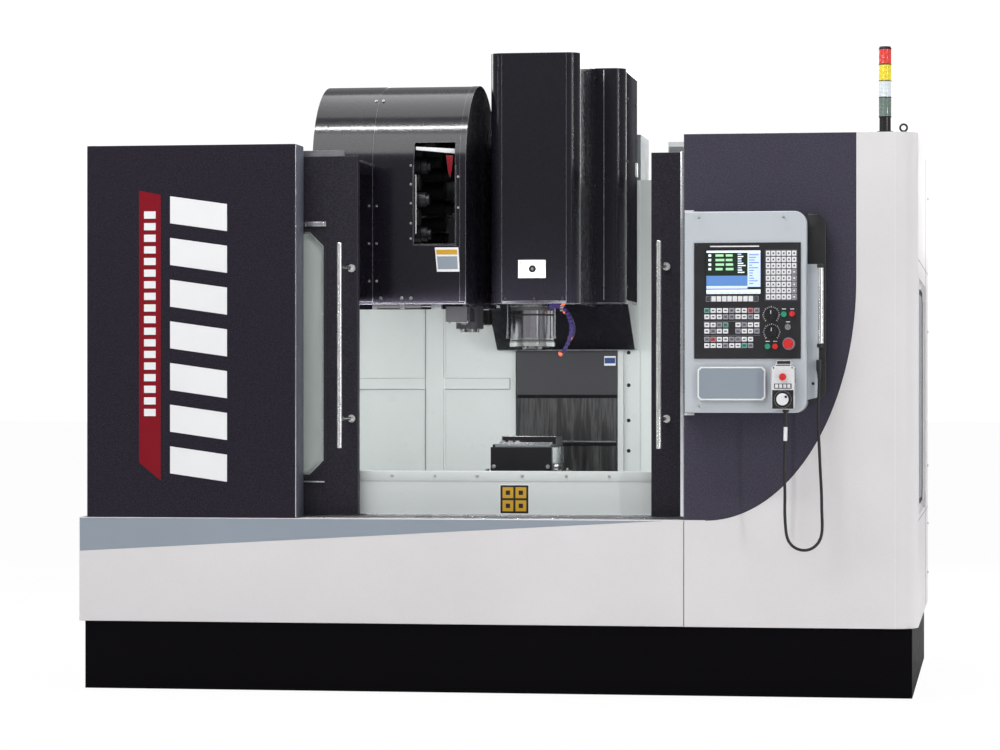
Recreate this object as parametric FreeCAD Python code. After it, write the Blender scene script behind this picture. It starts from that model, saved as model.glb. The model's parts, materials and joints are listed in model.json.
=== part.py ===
"""CNC vertical machining centre: enclosure with sliding doors, moving table, head and tool changer.

Units are millimetres. +X is to the right seen from the front, the front faces -Y, +Z is up.
The origin is on the floor, under the middle of the whole machine. Most places are given as a
depth behind the front face of the cabinets, which block() and the other helpers turn into Y.
"""
import FreeCAD, Part
import math
import os

V = FreeCAD.Vector

# ---------------------------------------------------------------- driving dimensions
WIDTH = 3444.0              # over the skirt
CABINET_DEPTH = 1600.0      # side panels, front to rear
PANEL_STANDOFF = 5.0        # control panel to cabinet front
HOUSING_DEPTH = 110.0       # control panel housing
FACE_THICK = 4.0            # control panel face plate
BRACKET_DEPTH = 15.0        # pendant hook in front of the housing
PENDANT_DEPTH = 48.0
DIAL_DEPTH = 22.0           # pendant handwheel
GAP = 0.3                   # between pieces that move past each other
FIT = 0.05                  # radial, shaft in bore

SHEET = 30.0                # folded enclosure panel
PLATE = 10.0                # inner panels
PLINTH_TOP = 286.0
PLINTH_INSET = 22.0
PLINTH_WALL = 12.0
PLINTH_DEPTH = 1830.0
SILL_TOP = 714.0
SKIRT_STEP = 33.0           # skirt stands out past the left cabinet
LEFT_TOP = 2244.0
RIGHT_TOP = 2265.0
OPEN_LEFT = -810.0          # cabinet edges beside the door opening
OPEN_RIGHT = 787.0
CORNER_R = 90.0             # rounded front corner of the right cabinet
ROOF = 12.0
ACCENT_EDGE = 1477.0        # right edge of the accent panel
ACCENT_BEND = 1680.0        # height where its edge starts to curve
ACCENT_TIP = 873.0          # where the curve runs into the sill line

DOOR_FRONT = 152.0          # depth of the doors' front face
DOOR_THICK = 36.0
DOOR_BOTTOM = 722.0
DOOR_TOP = 2205.0
LEFT_DOOR = (-1442.0, -582.0)
RIGHT_DOOR = (637.0, 1437.0)
DOOR_FRAME = 142.0          # door edge to its window
WINDOW = (885.0, 1895.0)    # heights of the window
HANDLE_Z = (1005.0, 1835.0)
HANDLE_R = 10.0

INNER_LEFT = -1148.0        # faces of the work area
INNER_RIGHT = 1212.0
INNER_FRONT = 212.0
INNER_REAR = 1676.0
FLOOR_Z = 520.0
SPLASH_TOP = 903.0

AXIS_X = 30.0               # spindle, bed and saddle centre line
SPINDLE_D = 880.0
BED_HALF = 430.0
COLUMN_X = 70.0             # column and covers centre line
TABLE_LENGTH = 1200.0
TABLE_WIDTH = 500.0
TABLE_TOP = 875.0
TABLE_THICK = 115.0
TABLE_D = 920.0
SLOT_THROAT = 18.0
SLOT_HEAD = 32.0
SLOT_PITCH = 100.0
SLOT_DEPTH = 36.0
SADDLE_LENGTH = 1440.0
SADDLE_WIDTH = 460.0
WAY_TOP_Y = 560.0
WAY_TOP_X = 700.0
SCREW_R = 20.0
X_SCREW_R = 16.0

NOSE_Z = 1427.0             # face of the spindle flange
HEAD_BOTTOM = 1620.0
HEAD_TOP = 2060.0
CARTRIDGE_R = 75.0
SHAFT_R = 40.0
COVER_X = (-123.0, 264.0)   # head cover
COVER_D = (670.0, 1200.0)
COVER_Z = (1608.0, 2681.0)
REAR_X = (-190.0, 394.0)    # saddle cover behind it
REAR_D = (1200.0, 1630.0)
REAR_Z = (1627.0, 2670.0)
SKIN = 4.0
COVER_CORNER = 52.0         # front corners of both covers
APRON_BOTTOM = 1424.0

COVER_RUN = 36.0            # foremost Z cover to the rear wall
WAYS_D = 1690.0             # front of the Z ways
COLUMN_D = (1730.0, 2040.0)
COLUMN_TOP = 2420.0
COLUMN_HALF = 330.0
Z_WAY_OFFSET = 190.0
Z_WAY_WIDTH = 70.0

MAG_X = (-857.0, -195.0)    # tool magazine housing
MAG_R = 380.0
MAG_AXIS_Z = 2180.0
MAG_BOTTOM = 1602.0
DISC_Z = 2050.0
DISC_R = 250.0
POT_CIRCLE = 290.0
POT_R = 34.0
POTS = 24
POT_PIVOT_X = -522.0
ARM_X = -246.0
ARM_Z = (1505.3, 1599.7)
GRIP = 276.0                # arm centre to tool centre

CAB = (-330.0, 470.0, 700.0, 2100.0)    # electrical cabinet, X and Z
CAB_DEPTH = 250.0
CAB_BACK = COLUMN_D[1] + CAB_DEPTH
CAB_LEAF = 20.0             # its door
CAB_SEAL = 2.0              # gap that the door's seal fills
CAB_KNOB = 18.0             # main switch knob behind the door

PANEL = (802.0, 1288.0, 1146.0, 1946.0)     # control panel, X and Z
PANEL_R = 50.0
HINGE_X = PANEL[0] + 10     # pins of the control panel
HINGE_D = -PANEL_STANDOFF - 15
HINGE_PIN_R = 6.0
HINGE_REACH = 20.0          # pin into the housing
FACE = (841.0, 1265.0, 1361.0, 1821.0)
PENDANT = (1154.0, 1243.0, 1160.0, 1332.0)

BODY_DEPTH = CAB_BACK + CAB_SEAL + CAB_LEAF + CAB_KNOB     # cabinet front to the rear-most knob
FRONT_REACH = (PANEL_STANDOFF + HOUSING_DEPTH + BRACKET_DEPTH + PENDANT_DEPTH + DIAL_DEPTH)
FRONT_Y = FRONT_REACH - (BODY_DEPTH + FRONT_REACH) / 2
HALF = WIDTH / 2
LEFT_OUT = -HALF + SKIRT_STEP

NODES = {}


# ---------------------------------------------------------------- helpers
def block(x0, x1, d0, d1, z0, z1, fillet=0.0):
    shape = Part.makeBox(x1 - x0, d1 - d0, z1 - z0, V(x0, FRONT_Y + d0, z0))
    return shape.makeFillet(fillet, shape.Edges) if fillet else shape


def rod(x, d, z, axis, r, length):
    """Cylinder from (x, d, z) along axis."""
    return Part.makeCylinder(r, length, V(x, FRONT_Y + d, z), V(*axis))


def upright(x, d, z0, z1, r):
    return rod(x, d, z0, (0, 0, 1), r, z1 - z0)


def along_y(x, d0, d1, z, r):
    return rod(x, d0, z, (0, 1, 0), r, d1 - d0)


def along_x(x0, x1, d, z, r):
    return rod(x0, d, z, (1, 0, 0), r, x1 - x0)


def outline(points, push):
    """Prism from a closed polygon of points, pushed along a vector."""
    return Part.Face(Part.makePolygon([V(*p) for p in points + points[:1]])).extrude(V(*push))


def side_outline(depth_z, x0, x1):
    return outline([(x0, FRONT_Y + d, z) for d, z in depth_z], (x1 - x0, 0, 0))


def front_outline(x_z, d0, d1):
    return outline([(x, FRONT_Y + d0, z) for x, z in x_z], (0, d1 - d0, 0))


def fuse(first, *rest):
    return first.fuse(list(rest)).removeSplitter()


def group(*shapes):
    return Part.makeCompound(list(shapes))


def round_edges(shape, r, keep):
    """Fillets the edges for which keep(edge) is true."""
    return shape.makeFillet(r, [e for e in shape.Edges if keep(e)])


def vertical(edge):
    box = edge.BoundBox
    return box.ZLength > 1 and box.XLength < 0.01 and box.YLength < 0.01


# ---------------------------------------------------------------- base and castings
def base():
    x = HALF - PLINTH_INSET
    front = PLINTH_WALL
    outer = block(-x, x, front, front + PLINTH_DEPTH, 8, PLINTH_TOP)
    wall = PLINTH_WALL
    inner = block(-x + wall, x - wall, front + wall, front + PLINTH_DEPTH - wall, 7, PLINTH_TOP + 1)
    bed_gap = block(AXIS_X - BED_HALF - 5, AXIS_X + BED_HALF + 5, PLINTH_DEPTH / 2, 2 * PLINTH_DEPTH,
                    7, PLINTH_TOP + 1)
    NODES["plinth"] = outer.cut(inner).cut(bed_gap)


def bed():
    front, rear, half = 260.0, COLUMN_D[1], BED_HALF
    way, offset, way_end = 90.0, 330.0, 1620.0
    body = block(AXIS_X - half, AXIS_X + half, front, rear, 60, FLOOR_Z)
    ways = [block(AXIS_X + s * offset - way / 2, AXIS_X + s * offset + way / 2,
                  front + 40, way_end, FLOOR_Z, WAY_TOP_Y) for s in (-1, 1)]
    pocket = block(AXIS_X - 70, AXIS_X + 70, front + 40, way_end - 20, 430, FLOOR_Z + 1)
    bore = along_y(AXIS_X, front - 1, way_end + 30, Y_SCREW_Z, SCREW_R + FIT)
    body = fuse(body, *ways).cut(pocket).cut(bore)
    pads = []
    for x in (-350.0, 350.0):
        for d in (340.0, 900.0, 1460.0, 1980.0):
            pads.append(fuse(upright(AXIS_X + x, d, 0, 20, 60), upright(AXIS_X + x, d, 20, 60, 18)))
    NODES["bed_casting"] = group(body, *pads)
    NODES["y_screw"] = along_y(AXIS_X, front + 2, way_end + 25, Y_SCREW_Z, SCREW_R)


def column():
    d0, d1 = COLUMN_D
    body = block(COLUMN_X - COLUMN_HALF, COLUMN_X + COLUMN_HALF, d0, d1, FLOOR_Z, COLUMN_TOP)
    pocket = block(COLUMN_X - 110, COLUMN_X + 110, d0 - 1, d0 + 130, 760, COLUMN_TOP - 40)
    ways = [block(COLUMN_X + s * Z_WAY_OFFSET - Z_WAY_WIDTH / 2,
                  COLUMN_X + s * Z_WAY_OFFSET + Z_WAY_WIDTH / 2,
                  WAYS_D, d0, 900, COLUMN_TOP - 20) for s in (-1, 1)]
    bore = upright(COLUMN_X, Z_SCREW_D, 738, COLUMN_TOP + 1, SCREW_R + FIT)
    NODES["column_casting"] = fuse(body, *ways).cut(pocket).cut(bore)
    NODES["z_screw"] = upright(COLUMN_X, Z_SCREW_D, 740, COLUMN_TOP - 2, SCREW_R)
    z_motor = fuse(block(COLUMN_X - 75, COLUMN_X + 75, Z_SCREW_D - 75, Z_SCREW_D + 75,
                         COLUMN_TOP, COLUMN_TOP + 20),
                   upright(COLUMN_X, Z_SCREW_D, COLUMN_TOP + 20, COLUMN_TOP + 200, 65))
    y_motor = fuse(block(AXIS_X - 70, AXIS_X + 70, 245, 260, Y_SCREW_Z - 70, Y_SCREW_Z + 70),
                   along_y(AXIS_X, 75, 245, Y_SCREW_Z, 62))
    NODES["axis_motors"] = group(z_motor, y_motor)


# ---------------------------------------------------------------- enclosure
def skirt():
    NODES["front_skirt"] = round_edges(
        block(-HALF, OPEN_RIGHT, 0, SHEET, PLINTH_TOP, SILL_TOP), 3, lambda e: e.BoundBox.YMax < FRONT_Y + 1)


def left_cabinet():
    t = SHEET
    pieces = [
        block(LEFT_OUT, OPEN_LEFT, 0, t, SILL_TOP, LEFT_TOP, 3),
        block(OPEN_LEFT - t, OPEN_LEFT, t, DOOR_FRONT - 12, SILL_TOP, LEFT_TOP),
        block(LEFT_OUT, LEFT_OUT + t, t, CABINET_DEPTH, SILL_TOP, LEFT_TOP),
        block(-HALF, LEFT_OUT + t, t, CABINET_DEPTH, PLINTH_TOP, SILL_TOP),
        block(LEFT_OUT + t, INNER_LEFT - 2 * PLATE, CABINET_DEPTH - t, CABINET_DEPTH, PLINTH_TOP, LEFT_TOP),
        block(LEFT_OUT + t, INNER_LEFT + 148, t, CABINET_DEPTH - t, LEFT_TOP - ROOF, LEFT_TOP),
        block(INNER_LEFT + 148, OPEN_LEFT - t, t, 250, LEFT_TOP - ROOF, LEFT_TOP),
    ]
    NODES["left_cabinet_panels"] = group(*pieces)


def accent_area(d0, d1):
    """Accent panel: straight right edge, then an elliptical sweep down to the sill line."""
    y = FRONT_Y + d0
    rise, run = ACCENT_BEND - SILL_TOP, ACCENT_EDGE - ACCENT_TIP
    centre = V(ACCENT_TIP, y, ACCENT_BEND)
    ellipse = Part.Ellipse(centre + V(0, 0, -rise), centre + V(run, 0, 0), centre)
    corner = [V(ACCENT_TIP, y, SILL_TOP), V(OPEN_RIGHT, y, SILL_TOP), V(OPEN_RIGHT, y, RIGHT_TOP),
              V(ACCENT_EDGE, y, RIGHT_TOP), V(ACCENT_EDGE, y, ACCENT_BEND)]
    start, end = ellipse.parameter(corner[0]), ellipse.parameter(corner[-1])
    arc = ellipse.toShape(start, end if end > start else end + 2 * math.pi)
    sides = [Part.makeLine(a, b) for a, b in zip(corner, corner[1:])]
    wire = Part.Wire(Part.__sortEdges__([arc] + sides))
    return Part.Face(wire).extrude(V(0, d1 - d0, 0))


def right_cabinet():
    t, r = SHEET, CORNER_R
    front = block(OPEN_RIGHT, HALF - r, 0, t, PLINTH_TOP, RIGHT_TOP).cut(accent_area(-1, t + 1))
    corner = upright(HALF - r, r, PLINTH_TOP, RIGHT_TOP, r).cut(
        upright(HALF - r, r, PLINTH_TOP - 1, RIGHT_TOP + 1, r - t))
    corner = corner.common(block(HALF - r, HALF, 0, r, PLINTH_TOP, RIGHT_TOP))
    d0, d1, z0, z1, c = 150.0, 1190.0, 731.0, 1691.0, 70.0
    window = side_outline([(d0 + c, z0), (d1 - c, z0), (d1, z0 + c), (d1, z1 - c), (d1 - c, z1),
                           (d0 + c, z1), (d0, z1 - c), (d0, z0 + c)], HALF - 16, HALF + 1)
    side = block(HALF - t, HALF, r, CABINET_DEPTH, PLINTH_TOP, RIGHT_TOP).cut(window)
    lugs = []
    for z, way in ((PANEL[3], 1), (PANEL[2], -1)):
        lug = block(HINGE_X - 18, HINGE_X + 18, HINGE_D - 18, 0, *sorted((z + 2 * way, z + 10 * way)))
        pin = upright(HINGE_X, HINGE_D, *sorted((z - HINGE_REACH * way, z + 4 * way)), HINGE_PIN_R)
        lugs.append(fuse(lug, pin))
    roof_edge = INNER_RIGHT - 112
    NODES["right_cabinet_panels"] = group(
        front, corner, side,
        block(INNER_RIGHT + 2 * PLATE, HALF - t, CABINET_DEPTH - t, CABINET_DEPTH, PLINTH_TOP, RIGHT_TOP),
        block(OPEN_RIGHT, OPEN_RIGHT + t, t, DOOR_FRONT - 12, SILL_TOP, RIGHT_TOP),
        block(roof_edge, HALF - r, t, CABINET_DEPTH - t, RIGHT_TOP - ROOF, RIGHT_TOP),
        block(HALF - r, HALF - t, r, CABINET_DEPTH - t, RIGHT_TOP - ROOF, RIGHT_TOP),
        block(OPEN_RIGHT + t, roof_edge, t, 250, RIGHT_TOP - ROOF, RIGHT_TOP),
        *lugs)
    NODES["right_accent_panel"] = accent_area(0, t)


def interior():
    p, f, rear = PLATE, INNER_FRONT, INNER_REAR
    top, mag_clear = LEFT_TOP - 38, 1740.0
    post = 80.0
    splash_x = (OPEN_LEFT + 50, OPEN_RIGHT - 87)
    splash = fuse(block(*splash_x, f, f + p, SILL_TOP, SPLASH_TOP),
                  block(*splash_x, f + p, f + 50, SPLASH_TOP - p, SPLASH_TOP))
    cover_x = (COLUMN_X - 246, COLUMN_X + 234)
    cross = [block(-595, -515, rear - 6, rear, FLOOR_Z, mag_clear),
             block(INNER_LEFT, -203, rear - 6, rear, 1246, 1294)]
    NODES["interior_panels"] = group(
        splash,
        block(splash_x[0] - post, splash_x[0], f, f + 30, SILL_TOP, top),
        block(splash_x[1], splash_x[1] + post + 7, f, f + 30, SILL_TOP, RIGHT_TOP - ROOF),
        block(INNER_LEFT, splash_x[0] - post, f, f + 30, SILL_TOP, top),
        block(splash_x[1] + post + 7, INNER_RIGHT, f, f + 30, SILL_TOP, top),
        block(INNER_LEFT - 2 * p, INNER_LEFT, f + 30, rear, FLOOR_Z, top),
        block(INNER_RIGHT, INNER_RIGHT + 2 * p, f + 30, rear, FLOOR_Z, top),
        block(INNER_LEFT, AXIS_X - BED_HALF, f + p, rear, FLOOR_Z - 12, FLOOR_Z),
        block(AXIS_X + BED_HALF, INNER_RIGHT, f + p, rear, FLOOR_Z - 12, FLOOR_Z),
        block(splash_x[0], splash_x[1], f + p, f + 48, FLOOR_Z + 60, SILL_TOP),
        fuse(block(INNER_LEFT - 2 * p, cover_x[0], rear, rear + p, FLOOR_Z, mag_clear), *cross),
        block(INNER_LEFT - 2 * p, -900, rear, rear + p, mag_clear, top),
        block(cover_x[1], INNER_RIGHT + 2 * p, rear, rear + p, FLOOR_Z, top),
        z_cover(2, 700, 1090),
        block(COLUMN_X - 226, COLUMN_X - 210, z_cover_front(2) + SKIN, rear, 700, 1090),
        block(COLUMN_X + 210, COLUMN_X + 226, z_cover_front(2) + SKIN, rear, 700, 1090),
        block(cover_x[0], cover_x[1], rear, rear + p, FLOOR_Z, 860))


def door_tracks():
    x0, x1 = LEFT_OUT + SHEET, HALF - SHEET
    rail = (INNER_FRONT - 12, INNER_FRONT)
    sill = block(x0, HALF - CORNER_R, SHEET, INNER_FRONT, SILL_TOP - 24, SILL_TOP)
    track = block(x0 + 20, x1 - 20, DOOR_FRONT + 10, DOOR_FRONT + 26, SILL_TOP, SILL_TOP + 4)
    left = block(x0, -650, *rail, DOOR_TOP + 1, LEFT_TOP - ROOF)
    right = block(705, x1, *rail, DOOR_TOP + 1, LEFT_TOP - ROOF)
    NODES["door_tracks"] = group(sill, track, left, right)


def door(side, span, window_x, foot_x, bar_x, bracket_x):
    d0, d1 = DOOR_FRONT, DOOR_FRONT + DOOR_THICK
    c = 60.0
    x0, x1 = window_x
    z0, z1 = WINDOW
    pane = [(x0 + c, z0), (x1 - c, z0), (x1, z0 + c), (x1, z1 - c), (x1 - c, z1),
            (x0 + c, z1), (x0, z1 - c), (x0, z0 + c)]
    slab = block(span[0], span[1], d0, d1, DOOR_BOTTOM, DOOR_TOP, 3)
    slab = slab.cut(front_outline(pane, d0 - 1, d1 + 1))
    shoes = [block(x - 30, x + 30, DOOR_FRONT + 8, DOOR_FRONT + 28, SILL_TOP + 4 + GAP, DOOR_BOTTOM)
             for x in (span[0] + 90, span[1] - 90)]
    bracket = block(*bracket_x, d1, d1 + 290, DOOR_TOP - 22, DOOR_TOP - 14)
    NODES[side + "_door"] = fuse(slab, bracket, *shoes)
    NODES[side + "_door_window"] = front_outline(pane, d0 + 12, d0 + 20)
    bar_d = 20.0
    parts = [upright(bar_x, bar_d, *HANDLE_Z, HANDLE_R)]
    for z in (1120.0, 1740.0):
        reach = V(foot_x - bar_x, d0 - bar_d, 0)
        parts.append(rod(bar_x, bar_d, z, tuple(reach), 8, reach.Length).fuse(
            along_y(foot_x, d0 - 8, d0, z, 16)))
    stem = fuse(*parts)
    NODES[side + "_door_handle"] = stem.cut(block(*span, d0, d1, DOOR_BOTTOM, DOOR_TOP))


def doors():
    a, b = LEFT_DOOR
    door("left", LEFT_DOOR, (a + DOOR_FRAME, b - DOOR_FRAME), b - 26, b - 48, (b - 118, b))
    a, b = RIGHT_DOOR
    door("right", RIGHT_DOOR, (a + DOOR_FRAME, b - DOOR_FRAME), a + 63, a + 46, (a, a + 60))


# ---------------------------------------------------------------- saddle and table
Y_SCREW_Z = 490.0
Z_SCREW_D = COLUMN_D[0] + 50
X_SCREW_Z = 670.0


def saddle():
    x0, x1 = AXIS_X - SADDLE_LENGTH / 2, AXIS_X + SADDLE_LENGTH / 2
    d0, d1 = TABLE_D - SADDLE_WIDTH / 2, TABLE_D + SADDLE_WIDTH / 2
    beam, end = 90.0, 30.0
    plate = block(x0, x1, d0, d1, WAY_TOP_Y + 15, 640)
    parts = [block(AXIS_X + s * 330 - 45, AXIS_X + s * 330 + 45, d0, d1, WAY_TOP_Y + GAP, WAY_TOP_Y + 15)
             for s in (-1, 1)]
    parts += [block(x0, x1, a, a + beam, 640, WAY_TOP_X) for a in (d0, d1 - beam)]
    parts += [block(a, a + end, d0 + beam, d1 - beam, 640, WAY_TOP_X) for a in (x0, x1 - end)]
    parts.append(block(AXIS_X - 50, AXIS_X + 50, TABLE_D - 50, TABLE_D + 50, Y_SCREW_Z - 45, WAY_TOP_Y + 15))
    body = fuse(plate, *parts)
    body = body.cut(along_y(AXIS_X, TABLE_D - 60, TABLE_D + 60, Y_SCREW_Z, SCREW_R + FIT))
    NODES["saddle_casting"] = body.cut(along_x(x0 + 10, x1 + 1, TABLE_D, X_SCREW_Z, X_SCREW_R + FIT))
    NODES["x_screw"] = along_x(x0 + 12, x1 - 2, TABLE_D, X_SCREW_Z, X_SCREW_R)
    NODES["x_axis_motor"] = fuse(
        block(x1, x1 + 15, TABLE_D - 60, TABLE_D + 60, X_SCREW_Z - 60, X_SCREW_Z + 60),
        along_x(x1 + 15, x1 + 180, TABLE_D, X_SCREW_Z, 56))


def table():
    top, bottom = TABLE_TOP, TABLE_TOP - TABLE_THICK
    x0, x1 = -TABLE_LENGTH / 2, TABLE_LENGTH / 2
    d0, d1 = TABLE_D - TABLE_WIDTH / 2, TABLE_D + TABLE_WIDTH / 2
    throat, head, floor = SLOT_THROAT, SLOT_HEAD, top - SLOT_DEPTH
    body = block(x0, x1, d0, d1, bottom, top)
    beam = 90.0
    near, far = TABLE_D - SADDLE_WIDTH / 2, TABLE_D + SADDLE_WIDTH / 2 - beam
    shoes = [block(-150, 150, a, a + beam, WAY_TOP_X + GAP, bottom) for a in (near, far)]
    nut = block(-50, 50, TABLE_D - 32, TABLE_D + 32, X_SCREW_Z - 24, bottom)
    body = fuse(body, nut, *shoes).cut(along_x(-60, 60, TABLE_D, X_SCREW_Z, X_SCREW_R + FIT))
    for i in (-2, -1, 0, 1, 2):
        d = TABLE_D + i * SLOT_PITCH
        body = body.cut(block(x0 - 1, x1 + 1, d - throat / 2, d + throat / 2, floor, top + 1))
        body = body.cut(block(x0 - 1, x1 + 1, d - head / 2, d + head / 2, floor, floor + 14))
    NODES["worktable"] = body
    near, far, half = 750.0, 1090.0, 132.0
    body_top = top + 118
    plate_top = body_top + 11
    NODES["fixture_block"] = group(
        block(-half, half, near, far, top, body_top, 3),
        block(-half + 8, half, near + 6, far, body_top, plate_top),
        block(-half + 28, half - 2, near + 150, far, plate_top, plate_top + 31))


# ---------------------------------------------------------------- head and Z covers
def front_corners_rounded(shape, r):
    front = shape.BoundBox.YMin + 1
    return round_edges(shape, r, lambda e: vertical(e) and e.BoundBox.YMax < front)


def shell_open_back(x, d, z, skin):
    """Sheet cover with a front, two sides and a top, open behind and below."""
    outer = front_corners_rounded(block(*x, *d, *z), COVER_CORNER)
    inner = block(x[0] + skin, x[1] - skin, d[0] + skin, d[1] + 1, z[0] - 1, z[1] - skin)
    return outer.cut(front_corners_rounded(inner, COVER_CORNER - skin))


def head():
    x0, x1 = AXIS_X - 140, AXIS_X + 140
    arm = block(x0, x1, 745, COVER_D[1] - 10, HEAD_BOTTOM, HEAD_TOP)
    neck = block(x0, x1, COVER_D[1] - 10, INNER_REAR - 46, HEAD_BOTTOM + 30, HEAD_TOP)
    carriage = block(COLUMN_X - 225, COLUMN_X + 225, INNER_REAR - 46, WAYS_D - GAP, HEAD_BOTTOM + 30, 2250)
    frame = block(REAR_X[0] + SKIN, REAR_X[1] - SKIN, 1400, 1420, 1660, 2300)
    nut = block(COLUMN_X - 50, COLUMN_X + 50, WAYS_D - GAP, Z_SCREW_D + 50, 1800, 1900)
    body = fuse(arm, neck, carriage, frame, nut)
    body = body.cut(upright(COLUMN_X, Z_SCREW_D, 1790, 1910, SCREW_R + FIT))
    body = body.cut(upright(AXIS_X, SPINDLE_D, HEAD_BOTTOM - 1, 1900, CARTRIDGE_R + FIT))
    NODES["head_casting"] = body.cut(upright(AXIS_X, SPINDLE_D, 1890, HEAD_TOP + 1, 60))
    NODES["head_cover"] = shell_open_back(COVER_X, COVER_D, COVER_Z, SKIN)
    rear = shell_open_back(REAR_X, REAR_D, REAR_Z, SKIN)
    rear = rear.cut(block(x0 - 2, x1 + 2, REAR_D[0] - 1, REAR_D[0] + 20, REAR_Z[0] - 1, HEAD_TOP + 2))
    apron_face = [(REAR_D[0] + 2, REAR_Z[0]), (1320, REAR_Z[0]), (1560, APRON_BOTTOM + 4),
                  (INNER_REAR - COVER_RUN, APRON_BOTTOM + 4),
                  (INNER_REAR - COVER_RUN, APRON_BOTTOM), (1558, APRON_BOTTOM), (1317, REAR_Z[0] - 4),
                  (REAR_D[0] + 2, REAR_Z[0] - 4)]
    apron = side_outline(apron_face, REAR_X[0] - 53, REAR_X[1])
    apron = apron.cut(block(REAR_X[0] - 60, REAR_X[0], REAR_D[0], 1340, 1400, 1700))
    NODES["saddle_cover"] = group(rear, apron)

    def turned_part(z0, z1, r):
        return upright(AXIS_X, SPINDLE_D, z0, z1, r)

    flange_top, shaft_top, gauge = NOSE_Z + 23, 1894.0, NOSE_Z - 6
    cartridge = fuse(turned_part(NOSE_Z, flange_top, 97.5), turned_part(flange_top, HEAD_BOTTOM, 93),
                     turned_part(HEAD_BOTTOM, shaft_top - 4, CARTRIDGE_R))
    cartridge = cartridge.cut(turned_part(NOSE_Z - 1, shaft_top - 3, SHAFT_R + FIT))
    NODES["spindle_cartridge"] = cartridge.cut(turned_part(NOSE_Z - 1, flange_top + 1, SHAFT_R + 6))
    shaft = fuse(turned_part(gauge, flange_top - 1, SHAFT_R + 4.5),
                 turned_part(flange_top - 1, shaft_top, SHAFT_R),
                 turned_part(shaft_top, HEAD_TOP - 5, 30))
    taper = Part.makeCone(22.2, 12.7, 65, V(AXIS_X, FRONT_Y + SPINDLE_D, gauge))
    keys = [block(AXIS_X + s * 34 - 7, AXIS_X + s * 34 + 7, SPINDLE_D - 8, SPINDLE_D + 8, gauge - 6, gauge)
            for s in (-1, 1)]
    NODES["spindle_shaft"] = fuse(shaft.cut(taper), *keys)
    NODES["spindle_motor"] = fuse(block(AXIS_X - 100, AXIS_X + 100, SPINDLE_D - 100, SPINDLE_D + 100,
                                        HEAD_TOP, HEAD_TOP + 25),
                                  turned_part(HEAD_TOP + 25, HEAD_TOP + 440, 92))


def nozzles():
    """Coolant valve block under the head with two jointed hoses that hold their pose."""
    parts = [block(120, 168, 770, 840, HEAD_BOTTOM - 30, HEAD_BOTTOM)]
    for start, mid, end in (((176, 785, 1600), (262, 760, 1500), (160, 815, 1385)),
                            ((176, 825, 1590), (240, 850, 1520), (205, 790, 1450))):
        steps = 13
        last = None
        for i in range(steps + 1):
            t = i / steps
            p = [(1 - t) ** 2 * a + 2 * t * (1 - t) * b + t * t * c for a, b, c in zip(start, mid, end)]
            here = V(p[0], FRONT_Y + p[1], p[2])
            r = 9.5 if i < steps - 1 else 6.5
            parts.append(Part.makeSphere(r, here))
            if last:
                step = here - last
                parts.append(Part.makeCylinder(7 if i < steps else 4.5, step.Length, last, step))
            last = here
        parts.append(along_x(160, 180, start[1], start[2], 12))
    NODES["coolant_nozzles"] = fuse(*parts)


def z_cover_front(step):
    return INNER_REAR - COVER_RUN + step * (SKIN + GAP)


def z_cover(step, z0, z1):
    """One telescopic sheet; each step is narrower and lies just behind the one above it."""
    half, front = 234.0 - 4 * step, z_cover_front(step)
    return block(COLUMN_X - half, COLUMN_X + half, front, front + SKIN, z0, z1)


def z_covers():
    NODES["z_cover_top"] = z_cover(0, 1202, APRON_BOTTOM + 36)
    NODES["z_cover_middle"] = z_cover(1, 983, 1300)


# ---------------------------------------------------------------- tool changer
def magazine_section(shrink, x0, x1):
    """Vertical sides with a half-round top, seen from the right."""
    r = MAG_R - shrink
    y = FRONT_Y + SPINDLE_D
    bottom = MAG_BOTTOM - (1 if shrink else 0)
    a, b = V(x0, y - r, MAG_AXIS_Z), V(x0, y + r, MAG_AXIS_Z)
    c, d = V(x0, y + r, bottom), V(x0, y - r, bottom)
    arc = Part.Arc(a, V(x0, y, MAG_AXIS_Z + r), b).toShape()
    wire = Part.Wire([arc, Part.makeLine(b, c), Part.makeLine(c, d), Part.makeLine(d, a)])
    return Part.Face(wire).extrude(V(x1 - x0, 0, 0))


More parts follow.
